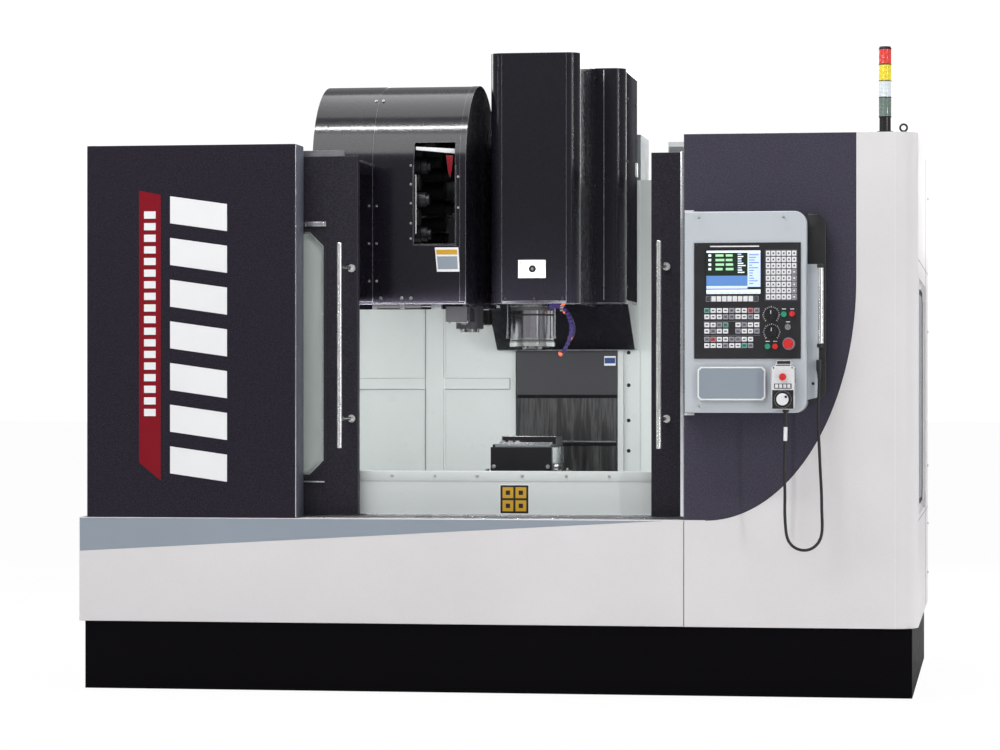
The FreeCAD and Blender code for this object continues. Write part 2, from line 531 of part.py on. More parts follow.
def magazine():
    x0, x1 = MAG_X
    back = SPINDLE_D + MAG_R
    housing = magazine_section(0, x0, x1).cut(magazine_section(SKIN, x0 + SKIN, x1 - SKIN))
    housing = housing.cut(block(-417, -241, SPINDLE_D - MAG_R - 5, SPINDLE_D - MAG_R + 60, 1857, 2288))
    beam = (1950.0, 2150.0)
    housing = housing.cut(block(-646, -594, back - 10, back + 10, beam[0] - 6, beam[1] + 6))
    NODES["magazine_housing"] = housing
    plate = block(-640, x1 - SKIN, back - 36, back - SKIN, 1650, MAG_AXIS_Z - 4)
    arm = block(-640, -600, 800, 1950, *beam)
    link = block(-600, COLUMN_X - COLUMN_HALF, 1780, 1950, *beam)
    axle = along_x(-600, -480, SPINDLE_D, DISC_Z, 30)
    NODES["magazine_frame"] = fuse(plate, arm, link, axle)

    disc = fuse(along_x(-545, -531, SPINDLE_D, DISC_Z, DISC_R), along_x(-598, -500, SPINDLE_D, DISC_Z, 70))
    disc = disc.cut(along_x(-620, -490, SPINDLE_D, DISC_Z, 30 + FIT))
    pivot_z = DISC_Z - POT_CIRCLE
    ears = [block(-545, -512, SPINDLE_D + a, SPINDLE_D + a + 4, pivot_z - 10, DISC_Z - DISC_R + 12)
            for a in (POT_R + 0.5, -POT_R - 4.5)]
    disc = fuse(disc, *ears).cut(along_y(POT_PIVOT_X, SPINDLE_D - 60, SPINDLE_D + 60, pivot_z, 5 + FIT))
    pots = []
    for i in range(POTS):
        angle = 2 * math.pi * i / POTS
        radial = V(0, math.sin(angle), -math.cos(angle))
        centre = V(0, FRONT_Y + SPINDLE_D, DISC_Z) + radial * POT_CIRCLE
        pot = Part.makeCylinder(POT_R, 120, centre + V(-530, 0, 0), V(1, 0, 0))
        if i % 2 == 0:
            pot = pot.fuse([Part.makeCylinder(31.5, 26, centre + V(-408, 0, 0), V(1, 0, 0)),
                            Part.makeCylinder(22, 42, centre + V(-410, 0, 0), V(1, 0, 0))])
        if i == 0:
            pivot = Part.makeCylinder(5, 2 * POT_R + 8, centre + V(POT_PIVOT_X, -POT_R - 4, 0), V(0, 1, 0))
            NODES["change_pot"] = pot.fuse(pivot)
            continue
        lug = Part.makeCylinder(8, POT_CIRCLE - POT_R - DISC_R + 12, V(-538, FRONT_Y + SPINDLE_D, DISC_Z)
                                + radial * (DISC_R - 5), radial)
        foot = Part.makeBox(12, 16, 16, V(-544, -8, -8) + centre + radial * (8 - POT_R))
        pots.append(fuse(pot, lug.cut(disc), foot))
    NODES["carousel"] = group(disc, *pots)

    box = block(-325, x1 - SKIN, 800, back - 36, 1640, 1980)
    NODES["cam_box"] = box.cut(upright(ARM_X, SPINDLE_D, 1639, 1900, 30 + FIT))
    low, high = ARM_Z
    cap = upright(ARM_X, SPINDLE_D, low - 15.3, low - 0.3, 40)
    NODES["arm_shaft"] = fuse(cap, upright(ARM_X, SPINDLE_D, low - 0.3, high + 0.3, 20),
                              upright(ARM_X, SPINDLE_D, high + 0.3, 1890, 30))
    reach = GRIP - 20
    arm = fuse(upright(ARM_X, SPINDLE_D, low, high, 60),
               block(ARM_X - 30, ARM_X + 30, SPINDLE_D - reach, SPINDLE_D + reach, low + 30, high - 10))
    for s in (-1, 1):
        d = SPINDLE_D + s * GRIP
        jaw = block(ARM_X - 46, ARM_X + 46, d - 40, d + 38, low + 24, high - 6)
        arm = fuse(arm, jaw)
        arm = arm.cut(upright(ARM_X, d, low, high, 32))
        mouth = (ARM_X - 50, ARM_X) if s > 0 else (ARM_X, ARM_X + 50)
        arm = arm.cut(block(*mouth, d - 26, d + 26, low, high))
    NODES["change_arm"] = arm.cut(upright(ARM_X, SPINDLE_D, low - 1, high + 1, 20 + FIT))


# ---------------------------------------------------------------- rear and roof
def electrics():
    x0, x1, z0, z1 = CAB
    wall, back = 4.0, CAB_BACK
    shell = block(x0, x1, COLUMN_D[1], back, z0, z1).cut(
        block(x0 + wall, x1 - wall, COLUMN_D[1] + wall, back + 1, z0 + wall, z1 - wall))
    modules = [block(x, x + 150, COLUMN_D[1] + wall, COLUMN_D[1] + 180, 1400, 1800)
               for x in (-250.0, -60.0, 130.0)]
    pin_x, pin_d = x0 - 8, back + 12
    hinges = (z0 + 200, z1 - 260)
    lugs, knuckles = [], []
    for z in hinges:
        low, high = z + 31, z + 60
        lug = fuse(upright(pin_x, pin_d, low, high, 7),
                   block(pin_x - 7, pin_x + 7, back - 10, pin_d - 2, low, high),
                   block(pin_x - 7, x0, back - 20, back - 6, low, high))
        lugs.append(fuse(lug, upright(pin_x, pin_d, z, low, 4)))
        knuckles.append(fuse(upright(pin_x, pin_d, z, z + 30, 7),
                             block(pin_x, x0 + 3, pin_d - 4, pin_d + 4, z, z + 30)))
    NODES["electrical_cabinet"] = group(fuse(shell, *lugs), *modules)
    leaf = fuse(block(x0, x1, back + CAB_SEAL, back + CAB_SEAL + CAB_LEAF, z0, z1), *knuckles)
    for z in hinges:
        leaf = leaf.cut(upright(pin_x, pin_d, z - 1, z + 31, 4 + FIT))
    knob = (x1 - 120.0, 1700.0)
    NODES["electrical_door"] = leaf.cut(along_y(knob[0], back + 10, back + 30, knob[1], 8 + FIT))
    grip = fuse(along_y(knob[0], back + 12, back + 23, knob[1], 8),
                along_y(knob[0], back + 22 + GAP, back + 30, knob[1], 32),
                block(knob[0] - 8, knob[0] + 8, back + 29, BODY_DEPTH, knob[1] - 30, knob[1] + 30))
    NODES["main_switch"] = grip


def tower():
    x, d, z = 1589.0, 100.0, RIGHT_TOP
    NODES["tower_pole"] = group(fuse(upright(x, d, z, z + 10, 32), upright(x, d, z + 10, z + 68, 23)),
                                upright(x, d, z + 340, z + 350, 23))
    tiers = (68, 146, 212, 278, 340)
    NODES["tower_lenses"] = group(*[upright(x, d, z + a, z + b, 25) for a, b in zip(tiers, tiers[1:])])


# ---------------------------------------------------------------- control panel
FACE_D = -PANEL_STANDOFF - HOUSING_DEPTH
KEY_D = FACE_D - FACE_THICK
# name: x, z, radius, how far it stands out
BUTTONS = {
    "power_on_button": (1198.5, 1536.5, 11, 8),
    "power_off_button": (1231.0, 1538.5, 11, 8),
    "start_button": (1134.0, 1409.5, 11, 8),
    "hold_button": (1164.0, 1409.5, 11, 8),
    "emergency_stop": (1217.5, 1419.6, 20, 26),
    "upper_dial": (1148.0, 1534.5, 20, 20),
    "lower_dial": (1150.0, 1466.0, 20, 20),
    "key_switch": (1214.6, 1486.0, 12, 12),
}
STEM_R = 5.0


def turned(name):
    return name in ("upper_dial", "lower_dial", "key_switch")


def control_panel():
    x0, x1, z0, z1 = PANEL
    d0, d1 = FACE_D, -PANEL_STANDOFF
    housing = block(x0, x1, d0, d1, z0, z1)
    right = FRONT_Y + d1
    housing = round_edges(housing, PANEL_R,
                          lambda e: e.BoundBox.YLength > 1 and e.BoundBox.XMin > x1 - 1)
    housing = round_edges(housing, 6, lambda e: e.BoundBox.YMax < right - 100 and e.BoundBox.YLength < 0.01)
    housing = housing.cut(block(x0 + 30, x1 - 12, d0 + 22, d1 + 1, z0 + 40, z1 - 40))
    for z, way in ((z1, 1), (z0, -1)):
        ends = sorted((z - (HINGE_REACH + 1) * way, z + way))
        housing = housing.cut(upright(HINGE_X, HINGE_D, *ends, HINGE_PIN_R + FIT))
    hook = block(PENDANT[0] + 12, PENDANT[1] - 12, d0 - BRACKET_DEPTH, d0, 1290, 1345)
    housing = fuse(housing, hook)
    face = block(FACE[0], FACE[1], KEY_D, d0, FACE[2], FACE[3])
    for name, (x, z, r, out) in BUTTONS.items():
        fit = FIT if turned(name) else GAP
        hole = along_y(x, KEY_D - 1, KEY_D + 21, z, STEM_R + fit)
        housing, face = housing.cut(hole), face.cut(hole)
        clear = GAP if turned(name) else 4.0
        rear = KEY_D - clear
        front = rear - out
        cap = along_y(x, front, rear, z, r)
        if name == "emergency_stop":
            cap = fuse(along_y(x, front, front + 14, z, r), along_y(x, front + 14, rear, z, 12))
        if turned(name):
            cap = fuse(cap, block(x - 3, x + 3, front - 3, front + 1, z - r * 0.8, z + r * 0.8))
        NODES[name] = fuse(cap, along_y(x, rear, KEY_D + 16, z, STEM_R))
    NODES["panel_face"] = face
    NODES["panel_housing"] = housing

    bar_x, bar_d = 1346.0, -150.0
    flange = block(x1, bar_x + 16, -60, -30, 1190, 1937)
    flange = round_edges(flange, 30, lambda e: e.BoundBox.YLength > 1 and e.BoundBox.XMin > x1 + 1)
    bar = upright(bar_x, bar_d, 1404, 1734, 12)
    arms = [fuse(along_y(bar_x, bar_d, -60, z, 9), upright(bar_x, bar_d, z - 16, z + 16, 16))
            for z in (1425.0, 1713.0)]
    NODES["panel_handle"] = group(flange, fuse(bar, *arms))


def pendant():
    x0, x1, z0, z1 = PENDANT
    back = FACE_D - BRACKET_DEPTH
    front = back - PENDANT_DEPTH
    mid = (x0 + x1) / 2
    body = block(x0, x1, front, back, z0, z1)
    body = round_edges(body, 12, lambda e: e.BoundBox.YLength > 1)
    stop, dial = (mid, 1288.0), (mid, 1200.0)
    body = body.cut(along_y(stop[0], front - 1, front + 20, stop[1], STEM_R + GAP))
    NODES["pendant_body"] = body.cut(along_y(dial[0], front - 1, front + 20, dial[1], 6 + FIT))
    NODES["pendant_stop"] = fuse(along_y(stop[0], front - 16, front - 4, stop[1], 14),
                                 along_y(stop[0], front - 4, front + 14, stop[1], STEM_R))
    rim = front - DIAL_DEPTH
    NODES["pendant_dial"] = fuse(along_y(dial[0], rim + 7, front - GAP, dial[1], 30),
                                 along_y(dial[0] + 16, rim, rim + 8, dial[1], 6),
                                 along_y(dial[0], front - GAP, front + 18, dial[1], 6))


# Cord from the pendant down, round its loop and up to the panel's side: x, depth, z
CORD_R = 6.0
CORD = [(1208, -154, 1132), (1208, -154, 1066), (1203, -152, 985), (1202, -149, 905), (1205, -146, 825),
        (1203, -143, 755), (1206, -140, 697), (1211, -136, 652), (1229, -131, 621), (1261, -125, 603),
        (1297, -119, 603), (1328, -113, 622), (1346, -108, 654), (1350, -104, 698), (1347, -100, 757),
        (1346, -97, 830), (1341, -94, 910), (1337, -91, 1000), (1332, -88, 1090), (1332, -86, 1175),
        (1336, -84, 1250), (1336, -84, 1312)]


def cord():
    points = [V(x, FRONT_Y + d, z) for x, d, z in CORD]
    edges, at = [], points[0]
    for i in range(1, len(points) - 1):
        before, after = points[i - 1] - points[i], points[i + 1] - points[i]
        turn = math.pi - before.getAngle(after)
        shorter = min(before.Length, after.Length)
        cut = 0.45 * shorter
        radius = cut / math.tan(turn / 2)
        print("cord radius %.0f mm at %s" % (radius, CORD[i]))
        u, w = before.normalize(), after.normalize()
        a, b = points[i] + u * cut, points[i] + w * cut
        bisector = (u + w).normalize()
        centre = points[i] + bisector * math.hypot(radius, cut)
        middle = centre - bisector * radius
        edges += [Part.LineSegment(at, a).toShape(), Part.Arc(a, middle, b).toShape()]
        at = b
    edges.append(Part.LineSegment(at, points[-1]).toShape())
    wire = Part.Wire(edges)
    start = (points[1] - points[0]).normalize()
    disc = Part.Wire([Part.Circle(points[0], start, CORD_R).toShape()])
    tube = wire.makePipeShell([disc], True, False)
    ratio = tube.Volume / (math.pi * CORD_R ** 2 * wire.Length)
    print("cord length %.0f, volume ratio %.4f" % (wire.Length, ratio))
    NODES["pendant_cord"] = tube
    low = points[0]
    gland_a = fuse(Part.makeCylinder(9.5, PENDANT[2] - CORD[0][2], low),
                   Part.makeCylinder(13, 10, low + V(0, 0, 18)))
    end_x, end_d, end_z = CORD[-1]
    gland_b = fuse(upright(end_x, end_d, end_z, end_z + 44, 12),
                   block(end_x - 9, end_x + 9, end_d, -60, end_z + 12, end_z + 40))
    NODES["cord_glands"] = group(gland_a, gland_b)


def main():
    for make in (base, bed, column, skirt, left_cabinet, right_cabinet, interior, door_tracks, doors, saddle,
                 table, head, nozzles, z_covers, magazine, electrics, tower, control_panel, pendant, cord):
        make()
    os.makedirs("parts", exist_ok=True)
    for name, shape in NODES.items():
        shape.exportStep("parts/%s.step" % name)
    print(len(NODES), "nodes")


main()
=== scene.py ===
"""Looks of the CNC vertical machining centre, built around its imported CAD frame.

Metres in Blender. Places are written in millimetres: x to the right of the middle, depth behind the
front face of the cabinets, z above the floor. at() turns them into points of the row frame.
"""
import itertools
import json
import math
import random

import bmesh
import bpy
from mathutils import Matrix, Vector


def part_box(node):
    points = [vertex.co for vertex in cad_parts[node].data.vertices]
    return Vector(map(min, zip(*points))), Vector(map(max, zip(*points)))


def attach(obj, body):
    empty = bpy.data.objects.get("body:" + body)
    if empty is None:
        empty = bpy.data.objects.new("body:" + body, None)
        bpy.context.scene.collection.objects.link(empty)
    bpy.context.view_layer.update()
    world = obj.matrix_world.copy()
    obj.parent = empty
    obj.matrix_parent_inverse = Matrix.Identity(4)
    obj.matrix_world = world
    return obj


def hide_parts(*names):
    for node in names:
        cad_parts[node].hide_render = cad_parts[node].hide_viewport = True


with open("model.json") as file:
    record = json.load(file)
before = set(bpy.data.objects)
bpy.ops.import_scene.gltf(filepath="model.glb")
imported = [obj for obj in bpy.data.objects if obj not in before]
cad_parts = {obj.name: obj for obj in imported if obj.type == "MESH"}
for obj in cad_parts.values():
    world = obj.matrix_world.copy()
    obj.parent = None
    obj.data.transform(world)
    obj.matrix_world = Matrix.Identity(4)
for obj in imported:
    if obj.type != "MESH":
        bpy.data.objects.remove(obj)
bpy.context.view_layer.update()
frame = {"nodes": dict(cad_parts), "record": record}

MM = 0.001
FRONT_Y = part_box("left_cabinet_panels")[0].y    # front face of both cabinets


def at(x, depth, z):
    return Vector((x * MM, FRONT_Y + depth * MM, z * MM))


def box_mm(node):
    """x0, x1, depth0, depth1, z0, z1 of a CAD node, in millimetres."""
    low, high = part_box(node)
    return (low.x / MM, high.x / MM, (low.y - FRONT_Y) / MM, (high.y - FRONT_Y) / MM, low.z / MM, high.z / MM)


# ---------------------------------------------------------------- materials
class Shader:
    """A node material: a Principled shader with chains of procedural nodes feeding it."""

    def __init__(self, name):
        self.material = bpy.data.materials.new(name)
        self.material.use_nodes = True
        self.tree = self.material.node_tree
        self.tree.nodes.clear()
        self.out = self.tree.nodes.new("ShaderNodeOutputMaterial")
        self.main = self.tree.nodes.new("ShaderNodeBsdfPrincipled")
        self.link(self.main.outputs[0], self.out.inputs[0])
        self.place = self.node("TexCoord").outputs["Object"]

    def node(self, kind, **values):
        made = self.tree.nodes.new("ShaderNode" + kind)
        for key, value in values.items():
            if key in made.inputs:
                made.inputs[key].default_value = value
            else:
                setattr(made, key, value)
        return made

    def link(self, source, target):
        self.tree.links.new(source, target)

    def set(self, **values):
        for key, value in values.items():
            self.main.inputs[key.replace("_", " ")].default_value = value
        return self

    def stretched(self, scale):
        mapping = self.node("Mapping")
        mapping.inputs["Scale"].default_value = scale
        self.link(self.place, mapping.inputs["Vector"])
        return mapping.outputs[0]

    def noise(self, scale, detail=2.0, roughness=0.5, stretch=None):
        made = self.node("TexNoise", Scale=scale, Detail=detail, Roughness=roughness)
        self.link(self.stretched(stretch) if stretch else self.place, made.inputs["Vector"])
        return made.outputs["Fac"]

    def ramp(self, source, stops):
        """Maps a value to colours: stops are (position, colour or grey)."""
        made = self.node("ValToRGB")
        line = made.color_ramp
        line.elements[0].position, line.elements[1].position = stops[0][0], stops[-1][0]
        for position, colour in stops[1:-1]:
            line.elements.new(position)
        for element, (position, colour) in zip(line.elements, stops):
            element.color = (colour,) * 3 + (1,) if isinstance(colour, float) else (*colour, 1)
        self.link(source, made.inputs["Fac"])
        return made.outputs["Color"]

    def mix(self, share, first, second):
        """share, first and second are sockets, or a number or a colour."""
        made = self.node("Mix", data_type="RGBA")
        sockets = [made.inputs[0], made.inputs[6], made.inputs[7]]
        for value, socket in zip((share, first, second), sockets):
            if isinstance(value, bpy.types.NodeSocket):
                self.link(value, socket)
            elif isinstance(value, (int, float)):
                socket.default_value = value
            else:
                socket.default_value = (*value, 1)
        return made.outputs[2]

    def math(self, operation, first, second=0.0, clamp=False):
        made = self.node("Math", operation=operation, use_clamp=clamp)
        for value, socket in zip((first, second), made.inputs):
            if isinstance(value, bpy.types.NodeSocket):
                self.link(value, socket)
            else:
                socket.default_value = value
        return made.outputs[0]

    def axis(self, letter):
        split = self.node("SeparateXYZ")
        self.link(self.place, split.inputs[0])
        return split.outputs[letter]

    def colour(self, source):
        self.link(source, self.main.inputs["Base Color"])
        return self

    def rough(self, source):
        self.link(source, self.main.inputs["Roughness"])
        return self

    def specks(self, colour, spread, lift, scale, detail, roughness):
        """colour broken up by noise: darker by spread, lighter by lift times spread."""
        return self.ramp(self.noise(scale, detail, roughness),
                         [(0.36, lighter(colour, 1 - spread)), (0.5, colour),
                                                                (0.66, lighter(colour, 1 + lift * spread))])

    def uneven(self, low, high, scale, detail=2.0, roughness=0.5):
        """Roughness that drifts between low and high."""
        return self.rough(self.ramp(self.noise(scale, detail, roughness), [(0.3, low), (0.7, high)]))

    def bump(self, height, strength, distance, edge=0.0):
        """Bump from a height socket, over edges rounded by a bevel of that radius in metres."""
        made = self.node("Bump", Strength=strength, Distance=distance)
        self.link(height, made.inputs["Height"])
        if edge:
            bevel = self.node("Bevel", Radius=edge, samples=4)
            self.link(bevel.outputs[0], made.inputs["Normal"])
        self.link(made.outputs[0], self.main.inputs["Normal"])
        return self


def edge_wear_and_highlight(s, base, bright, radius, share):
    """base, with bright where the surface turns within radius: edge wear, and a painted highlight where folds
    catch the light.
    """
    bevel = s.node("Bevel", Radius=radius, samples=4)
    geometry = s.node("NewGeometry")
    dot = s.node("VectorMath", operation="DOT_PRODUCT")
    s.link(bevel.outputs[0], dot.inputs[0])
    s.link(geometry.outputs["True Normal"], dot.inputs[1])
    turned = s.ramp(dot.outputs["Value"], [(0.80, share), (0.97, 0.0)])
    return s.mix(turned, base, bright)


def lighter(colour, factor):
    return tuple(min(1.0, c * factor) for c in colour)


def powder_coat(name, colour, roughness=0.42, speckle=0.18, grain=900, edge=None, texture=0.25, shine=0.3,
                lacquer=0.0):
    """Textured powder coat: fine light and dark specks, slow clouds, small bumps."""
    s = Shader(name)
    specks = s.specks(colour, speckle, 2, grain, 3, 0.6)
    clouds = s.ramp(s.noise(1.3, 4, 0.6), [(0.3, lighter(colour, 0.9)), (0.7, lighter(colour, 1.12))])
    base = s.mix(0.35, specks, clouds)
    # brighter edges: part wear, part painted highlight where folds catch the light
    if edge:
        base = edge_wear_and_highlight(s, base, edge, 0.004, 0.75)
    s.colour(base)
    s.uneven(roughness - 0.05, roughness + 0.06, 14, 3, 0.6)
    s.set(Specular_IOR_Level=shine, Coat_Weight=lacquer, Coat_Roughness=0.13)
    return s.bump(s.noise(grain * 0.55, 2, 0.5), texture, 0.0004, 0.0015).material


def two_tone(name, lower, upper, split_z, roughness=0.4, speckle=0.1):
    """A powder coat that changes colour at a height, as where two panels meet."""
    s = Shader(name)
    shades = [s.specks(colour, spread, 1.6, 260, 3, 0.7)
              for colour, spread in ((lower, 0.05), (upper, speckle))]
    above = s.math("GREATER_THAN", s.axis("Z"), split_z)
    # brighter edges: part wear, part painted highlight where folds catch the light
    s.colour(edge_wear_and_highlight(s, s.mix(above, *shades), (0.6, 0.62, 0.66), 0.004, 0.5))
    s.uneven(roughness - 0.05, roughness + 0.06, 14, 3, 0.6)
    s.set(Specular_IOR_Level=0.08)
    return s.bump(s.noise(500, 2, 0.5), 0.2, 0.0004, 0.0015).material


def machined(name, colour, roughness=0.28, stretch=(1, 1, 60), scale=30, streak=0.35, metallic=1.0,
             bump=0.15):
    """Bare metal with streaks; stretch is larger across the streaks."""
    s = Shader(name)
    lines = s.noise(scale, 5, 0.7, stretch)
    s.colour(s.ramp(lines, [(0.25, lighter(colour, 1 - streak)), (0.5, colour),
                            (0.75, lighter(colour, 1 + streak))]))
    s.uneven(roughness * 0.75, roughness * 1.35, 8, 3, 0.6)
    s.set(Metallic=metallic)
    return s.bump(lines, bump, 0.0003, 0.0008).material


def moulded(name, colour, roughness=0.4, grain=1500, bump=0.12, speckle=0.06, **sockets):
    """Moulded plastic or rubber with a fine grain."""
    s = Shader(name)
    s.colour(s.ramp(s.noise(grain * 0.1, 3, 0.6), [(0.3, lighter(colour, 1 - speckle)),
                                                     (0.7, lighter(colour, 1 + speckle))]))
    s.uneven(roughness - 0.06, roughness + 0.06, 25)
    s.set(**sockets)
    return s.bump(s.noise(grain, 2, 0.5), bump, 0.0002, 0.0008).material


def way_cover_steel(name):
    """Stainless sheet with brushed grain; its broad upright light and dark streaks are painted reflections of
    upright things in front of it.
    """
    s = Shader(name)
    painted_reflection_streaks = s.noise(9, 4, 0.65, (2.6, 1, 0.18))
    fine = s.noise(120, 4, 0.7, (1, 1, 0.02))
    # painted reflection: broad upright streaks of light and dark in the colour, mixed with the fine brushed
    # grain
    tone = s.ramp(painted_reflection_streaks, [(0.32, 0.05), (0.44, 0.11), (0.52, 0.26), (0.60, 0.12), (0.72, 0.34)])
    s.colour(s.mix(0.3, tone, s.ramp(fine, [(0.3, 0.07), (0.7, 0.28)])))
    s.rough(s.ramp(fine, [(0.3, 0.22), (0.7, 0.42)]))
    s.set(Metallic=0.85)
    return s.bump(fine, 0.12, 0.0003, 0.001).material


def glass(name, colour, see_through, roughness=0.05):
    s = Shader(name)
    s.colour(s.ramp(s.noise(3, 2, 0.5), [(0.3, lighter(colour, 0.95)), (0.7, colour)]))
    s.uneven(roughness * 0.9, roughness * 1.2, 4)
    s.set(Alpha=1 - see_through, IOR=1.5)
    return s.bump(s.noise(2.5, 2, 0.5), 0.02, 0.001).material


def lens(name, colour, glow):
    """Ribbed translucent lamp lens."""
    s = Shader(name)
    ribs = s.node("TexWave", Scale=60.0, Distortion=0.0, bands_direction="Z")
    s.link(s.place, ribs.inputs["Vector"])
    s.colour(s.ramp(ribs.outputs["Fac"], [(0.2, lighter(colour, 0.6)), (0.8, lighter(colour, 1.2))]))
    s.uneven(0.1, 0.22, 40)
    s.set(Emission_Color=(*colour, 1), Emission_Strength=glow, Coat_Weight=0.4)
    return s.bump(ribs.outputs["Fac"], 0.4, 0.001).material


def glowing(name, colour, strength):
    """A field of a lit screen, with the faint grid of its pixels."""
    s = Shader(name)
    grid = s.noise(2500, 1, 0.5)
    s.colour(s.ramp(grid, [(0.3, lighter(colour, 0.9)), (0.7, colour)]))
    s.set(Roughness=0.3, Emission_Color=(*colour, 1), Emission_Strength=strength)
    return s.bump(grid, 0.05, 0.0001).material


CHARCOAL = (0.020, 0.017, 0.026)
ACCENT = (0.050, 0.046, 0.066)
OFF_WHITE = (0.68, 0.66, 0.665)
# edge colour: edge wear plus painted highlight on folds
EDGE_WEAR_AND_HIGHLIGHT = (0.5, 0.52, 0.56)

PAINT = {}


def stock(maker, *rows, **named):
    """Mixes a paint for each row: its name, then the maker's values."""
    for name, *values in rows:
        PAINT[name] = maker(name, *values, **named)


# The edge colours in these rows give brighter edges: part wear, part painted highlight.
stock(powder_coat, ("base_black", (0.0025, 0.002, 0.003), 0.5, 0.3), texture=0.3, shine=0.04,
      edge=(0.05, 0.05, 0.055))
stock(powder_coat, ("casting_grey", (0.25, 0.27, 0.28), 0.5, 0.12, 300), texture=0.5)
stock(powder_coat, ("shell_white", OFF_WHITE, 0.4, 0.05, 700), texture=0.22, edge=(0.9, 0.9, 0.92))
stock(two_tone, ("cabinet_charcoal", OFF_WHITE, CHARCOAL, 0.7138, 0.42, 0.6))
stock(powder_coat, ("accent_charcoal", ACCENT, 0.42, 0.4, 260, EDGE_WEAR_AND_HIGHLIGHT, 0.35, 0.12),
      ("inner_white", (0.64, 0.675, 0.665), 0.32, 0.03, 400, (0.9, 0.92, 0.92), 0.12),
      ("motor_black", (0.015, 0.015, 0.017), 0.4, 0.2),
      ("door_charcoal", (0.022, 0.02, 0.027), 0.4, 0.5, 260, EDGE_WEAR_AND_HIGHLIGHT, 0.3, 0.12, 0.1),
      ("cover_grey", (0.062, 0.062, 0.068), 0.34, 0.08, 500, (0.3, 0.3, 0.32), 0.15),
      ("arm_black", (0.014, 0.014, 0.016), 0.36, 0.2),
      ("panel_grey", (0.5, 0.535, 0.57), 0.36, 0.04, 900, (0.85, 0.87, 0.9), 0.15),
      ("jamb_grey", (0.11, 0.115, 0.15), 0.4, 0.25, 700, EDGE_WEAR_AND_HIGHLIGHT, 0.3))
stock(machined, ("track_steel", (0.42, 0.42, 0.44), 0.3, (0.05, 1, 1), 200),
      ("screw_steel", (0.5, 0.5, 0.5), 0.22, (1, 1, 1), 120, 0.2),
      ("table_iron", (0.42, 0.43, 0.44), 0.3, (0.1, 1, 1), 80, 0.2),
      ("key_metal", (0.6, 0.6, 0.6), 0.25, (1, 1, 1), 150, 0.15),
      ("bolt_zinc", (0.62, 0.62, 0.6), 0.3, (1, 1, 1), 200, 0.2),
      ("trim_steel", (0.66, 0.67, 0.69), 0.24, (1, 1, 0.03), 90, 0.15))
stock(glass, ("window_glass", (0.62, 0.68, 0.64), 0.35, 0.06),
      ("slate_glass", (0.25, 0.3, 0.34), 0.0, 0.2))
stock(machined, ("handle_chrome", (0.93, 0.92, 0.91), 0.24, (1, 1, 0.1), 60, 0.04),
      ("spindle_steel", (0.52, 0.5, 0.54), 0.18, (1, 1, 0.04), 45, 0.25), bump=0.02)
stock(powder_coat, ("fixture_steel", (0.008, 0.008, 0.009), 0.34, 0.2),
      ("block_white", (0.8, 0.8, 0.81), 0.42, 0.03), texture=0.15)
stock(powder_coat, ("head_black", (0.008, 0.007, 0.011), 0.26, 0.4, 500, (0.3, 0.3, 0.34), 0.16, 0.1),
      lacquer=0.7)
stock(moulded, ("hose_blue", (0.014, 0.007, 0.05), 0.35),
      ("switch_red", (0.5, 0.015, 0.012), 0.3), Coat_Weight=0.3)
stock(way_cover_steel, ("way_cover_steel",))
stock(moulded, ("pot_black", (0.02, 0.02, 0.023), 0.4),
      ("face_black", (0.016, 0.015, 0.018), 0.4),
      ("knob_black", (0.012, 0.012, 0.013), 0.32),
      ("pendant_white", (0.7, 0.71, 0.72), 0.4),
      ("gland_black", (0.012, 0.012, 0.013), 0.4),
      ("seal_black", (0.006, 0.006, 0.007), 0.6),
      ("bolt_black", (0.02, 0.02, 0.02), 0.35),
      ("sign_amber", (0.6, 0.34, 0.02), 0.4),
      ("sign_black", (0.008, 0.007, 0.007), 0.45),
      ("sign_white", (0.82, 0.82, 0.82), 0.4),
      ("sign_blue", (0.04, 0.08, 0.25), 0.4),
      ("valve_orange", (0.5, 0.09, 0.03), 0.35),
      ("key_white", (0.78, 0.78, 0.8), 0.45),
      ("key_grey", (0.22, 0.22, 0.27), 0.45),
      ("key_dark", (0.05, 0.05, 0.065), 0.45),
      ("key_green", (0.03, 0.28, 0.2), 0.4),
      ("key_rose", (0.45, 0.06, 0.07), 0.4),
      # painted shadow colour for the lines along the rear wall's pressed cross
      ("press_line", (0.16, 0.165, 0.17), 0.5),
      ("duct_grey", (0.22, 0.23, 0.24), 0.5))
stock(powder_coat, ("electric_grey", (0.5, 0.5, 0.5), 0.42, 0.06, 700), texture=0.3)
stock(lens, ("lens", (0.7, 0.05, 0.04), 0.2),
      ("lens_green", (0.16, 0.22, 0.19), 0.0),
      ("lens_clear", (0.7, 0.76, 0.8), 0.1),
      ("lens_yellow", (0.8, 0.66, 0.04), 0.15))
stock(moulded, ("button_green", (0.02, 0.3, 0.17), 0.25),
      ("button_red", (0.62, 0.02, 0.02), 0.25), Coat_Weight=0.5)
stock(moulded, ("cord_black", (0.008, 0.008, 0.009), 0.42), bump=0.2)
stock(powder_coat, ("wedge_blue", (0.27, 0.31, 0.36), 0.4, 0.06, 700), texture=0.2)
stock(powder_coat, ("band_red", (0.21, 0.008, 0.016), 0.38, 0.08), texture=0.15, shine=0.1)
stock(glowing, ("screen_dark", (0.01, 0.022, 0.014), 0.3),
      ("screen_blue", (0.1, 0.22, 0.5), 0.45),
      ("screen_pale", (0.55, 0.66, 0.9), 0.45),
      ("screen_white", (0.85, 0.9, 0.95), 0.5),
      ("screen_green", (0.35, 0.65, 0.38), 0.5))
# matt black used only to paint shade on the saddle cover's right side
stock(powder_coat, ("matt_black", (0.013, 0.011, 0.016), 0.8, 0.5, 260), texture=0.5, shine=0.02)

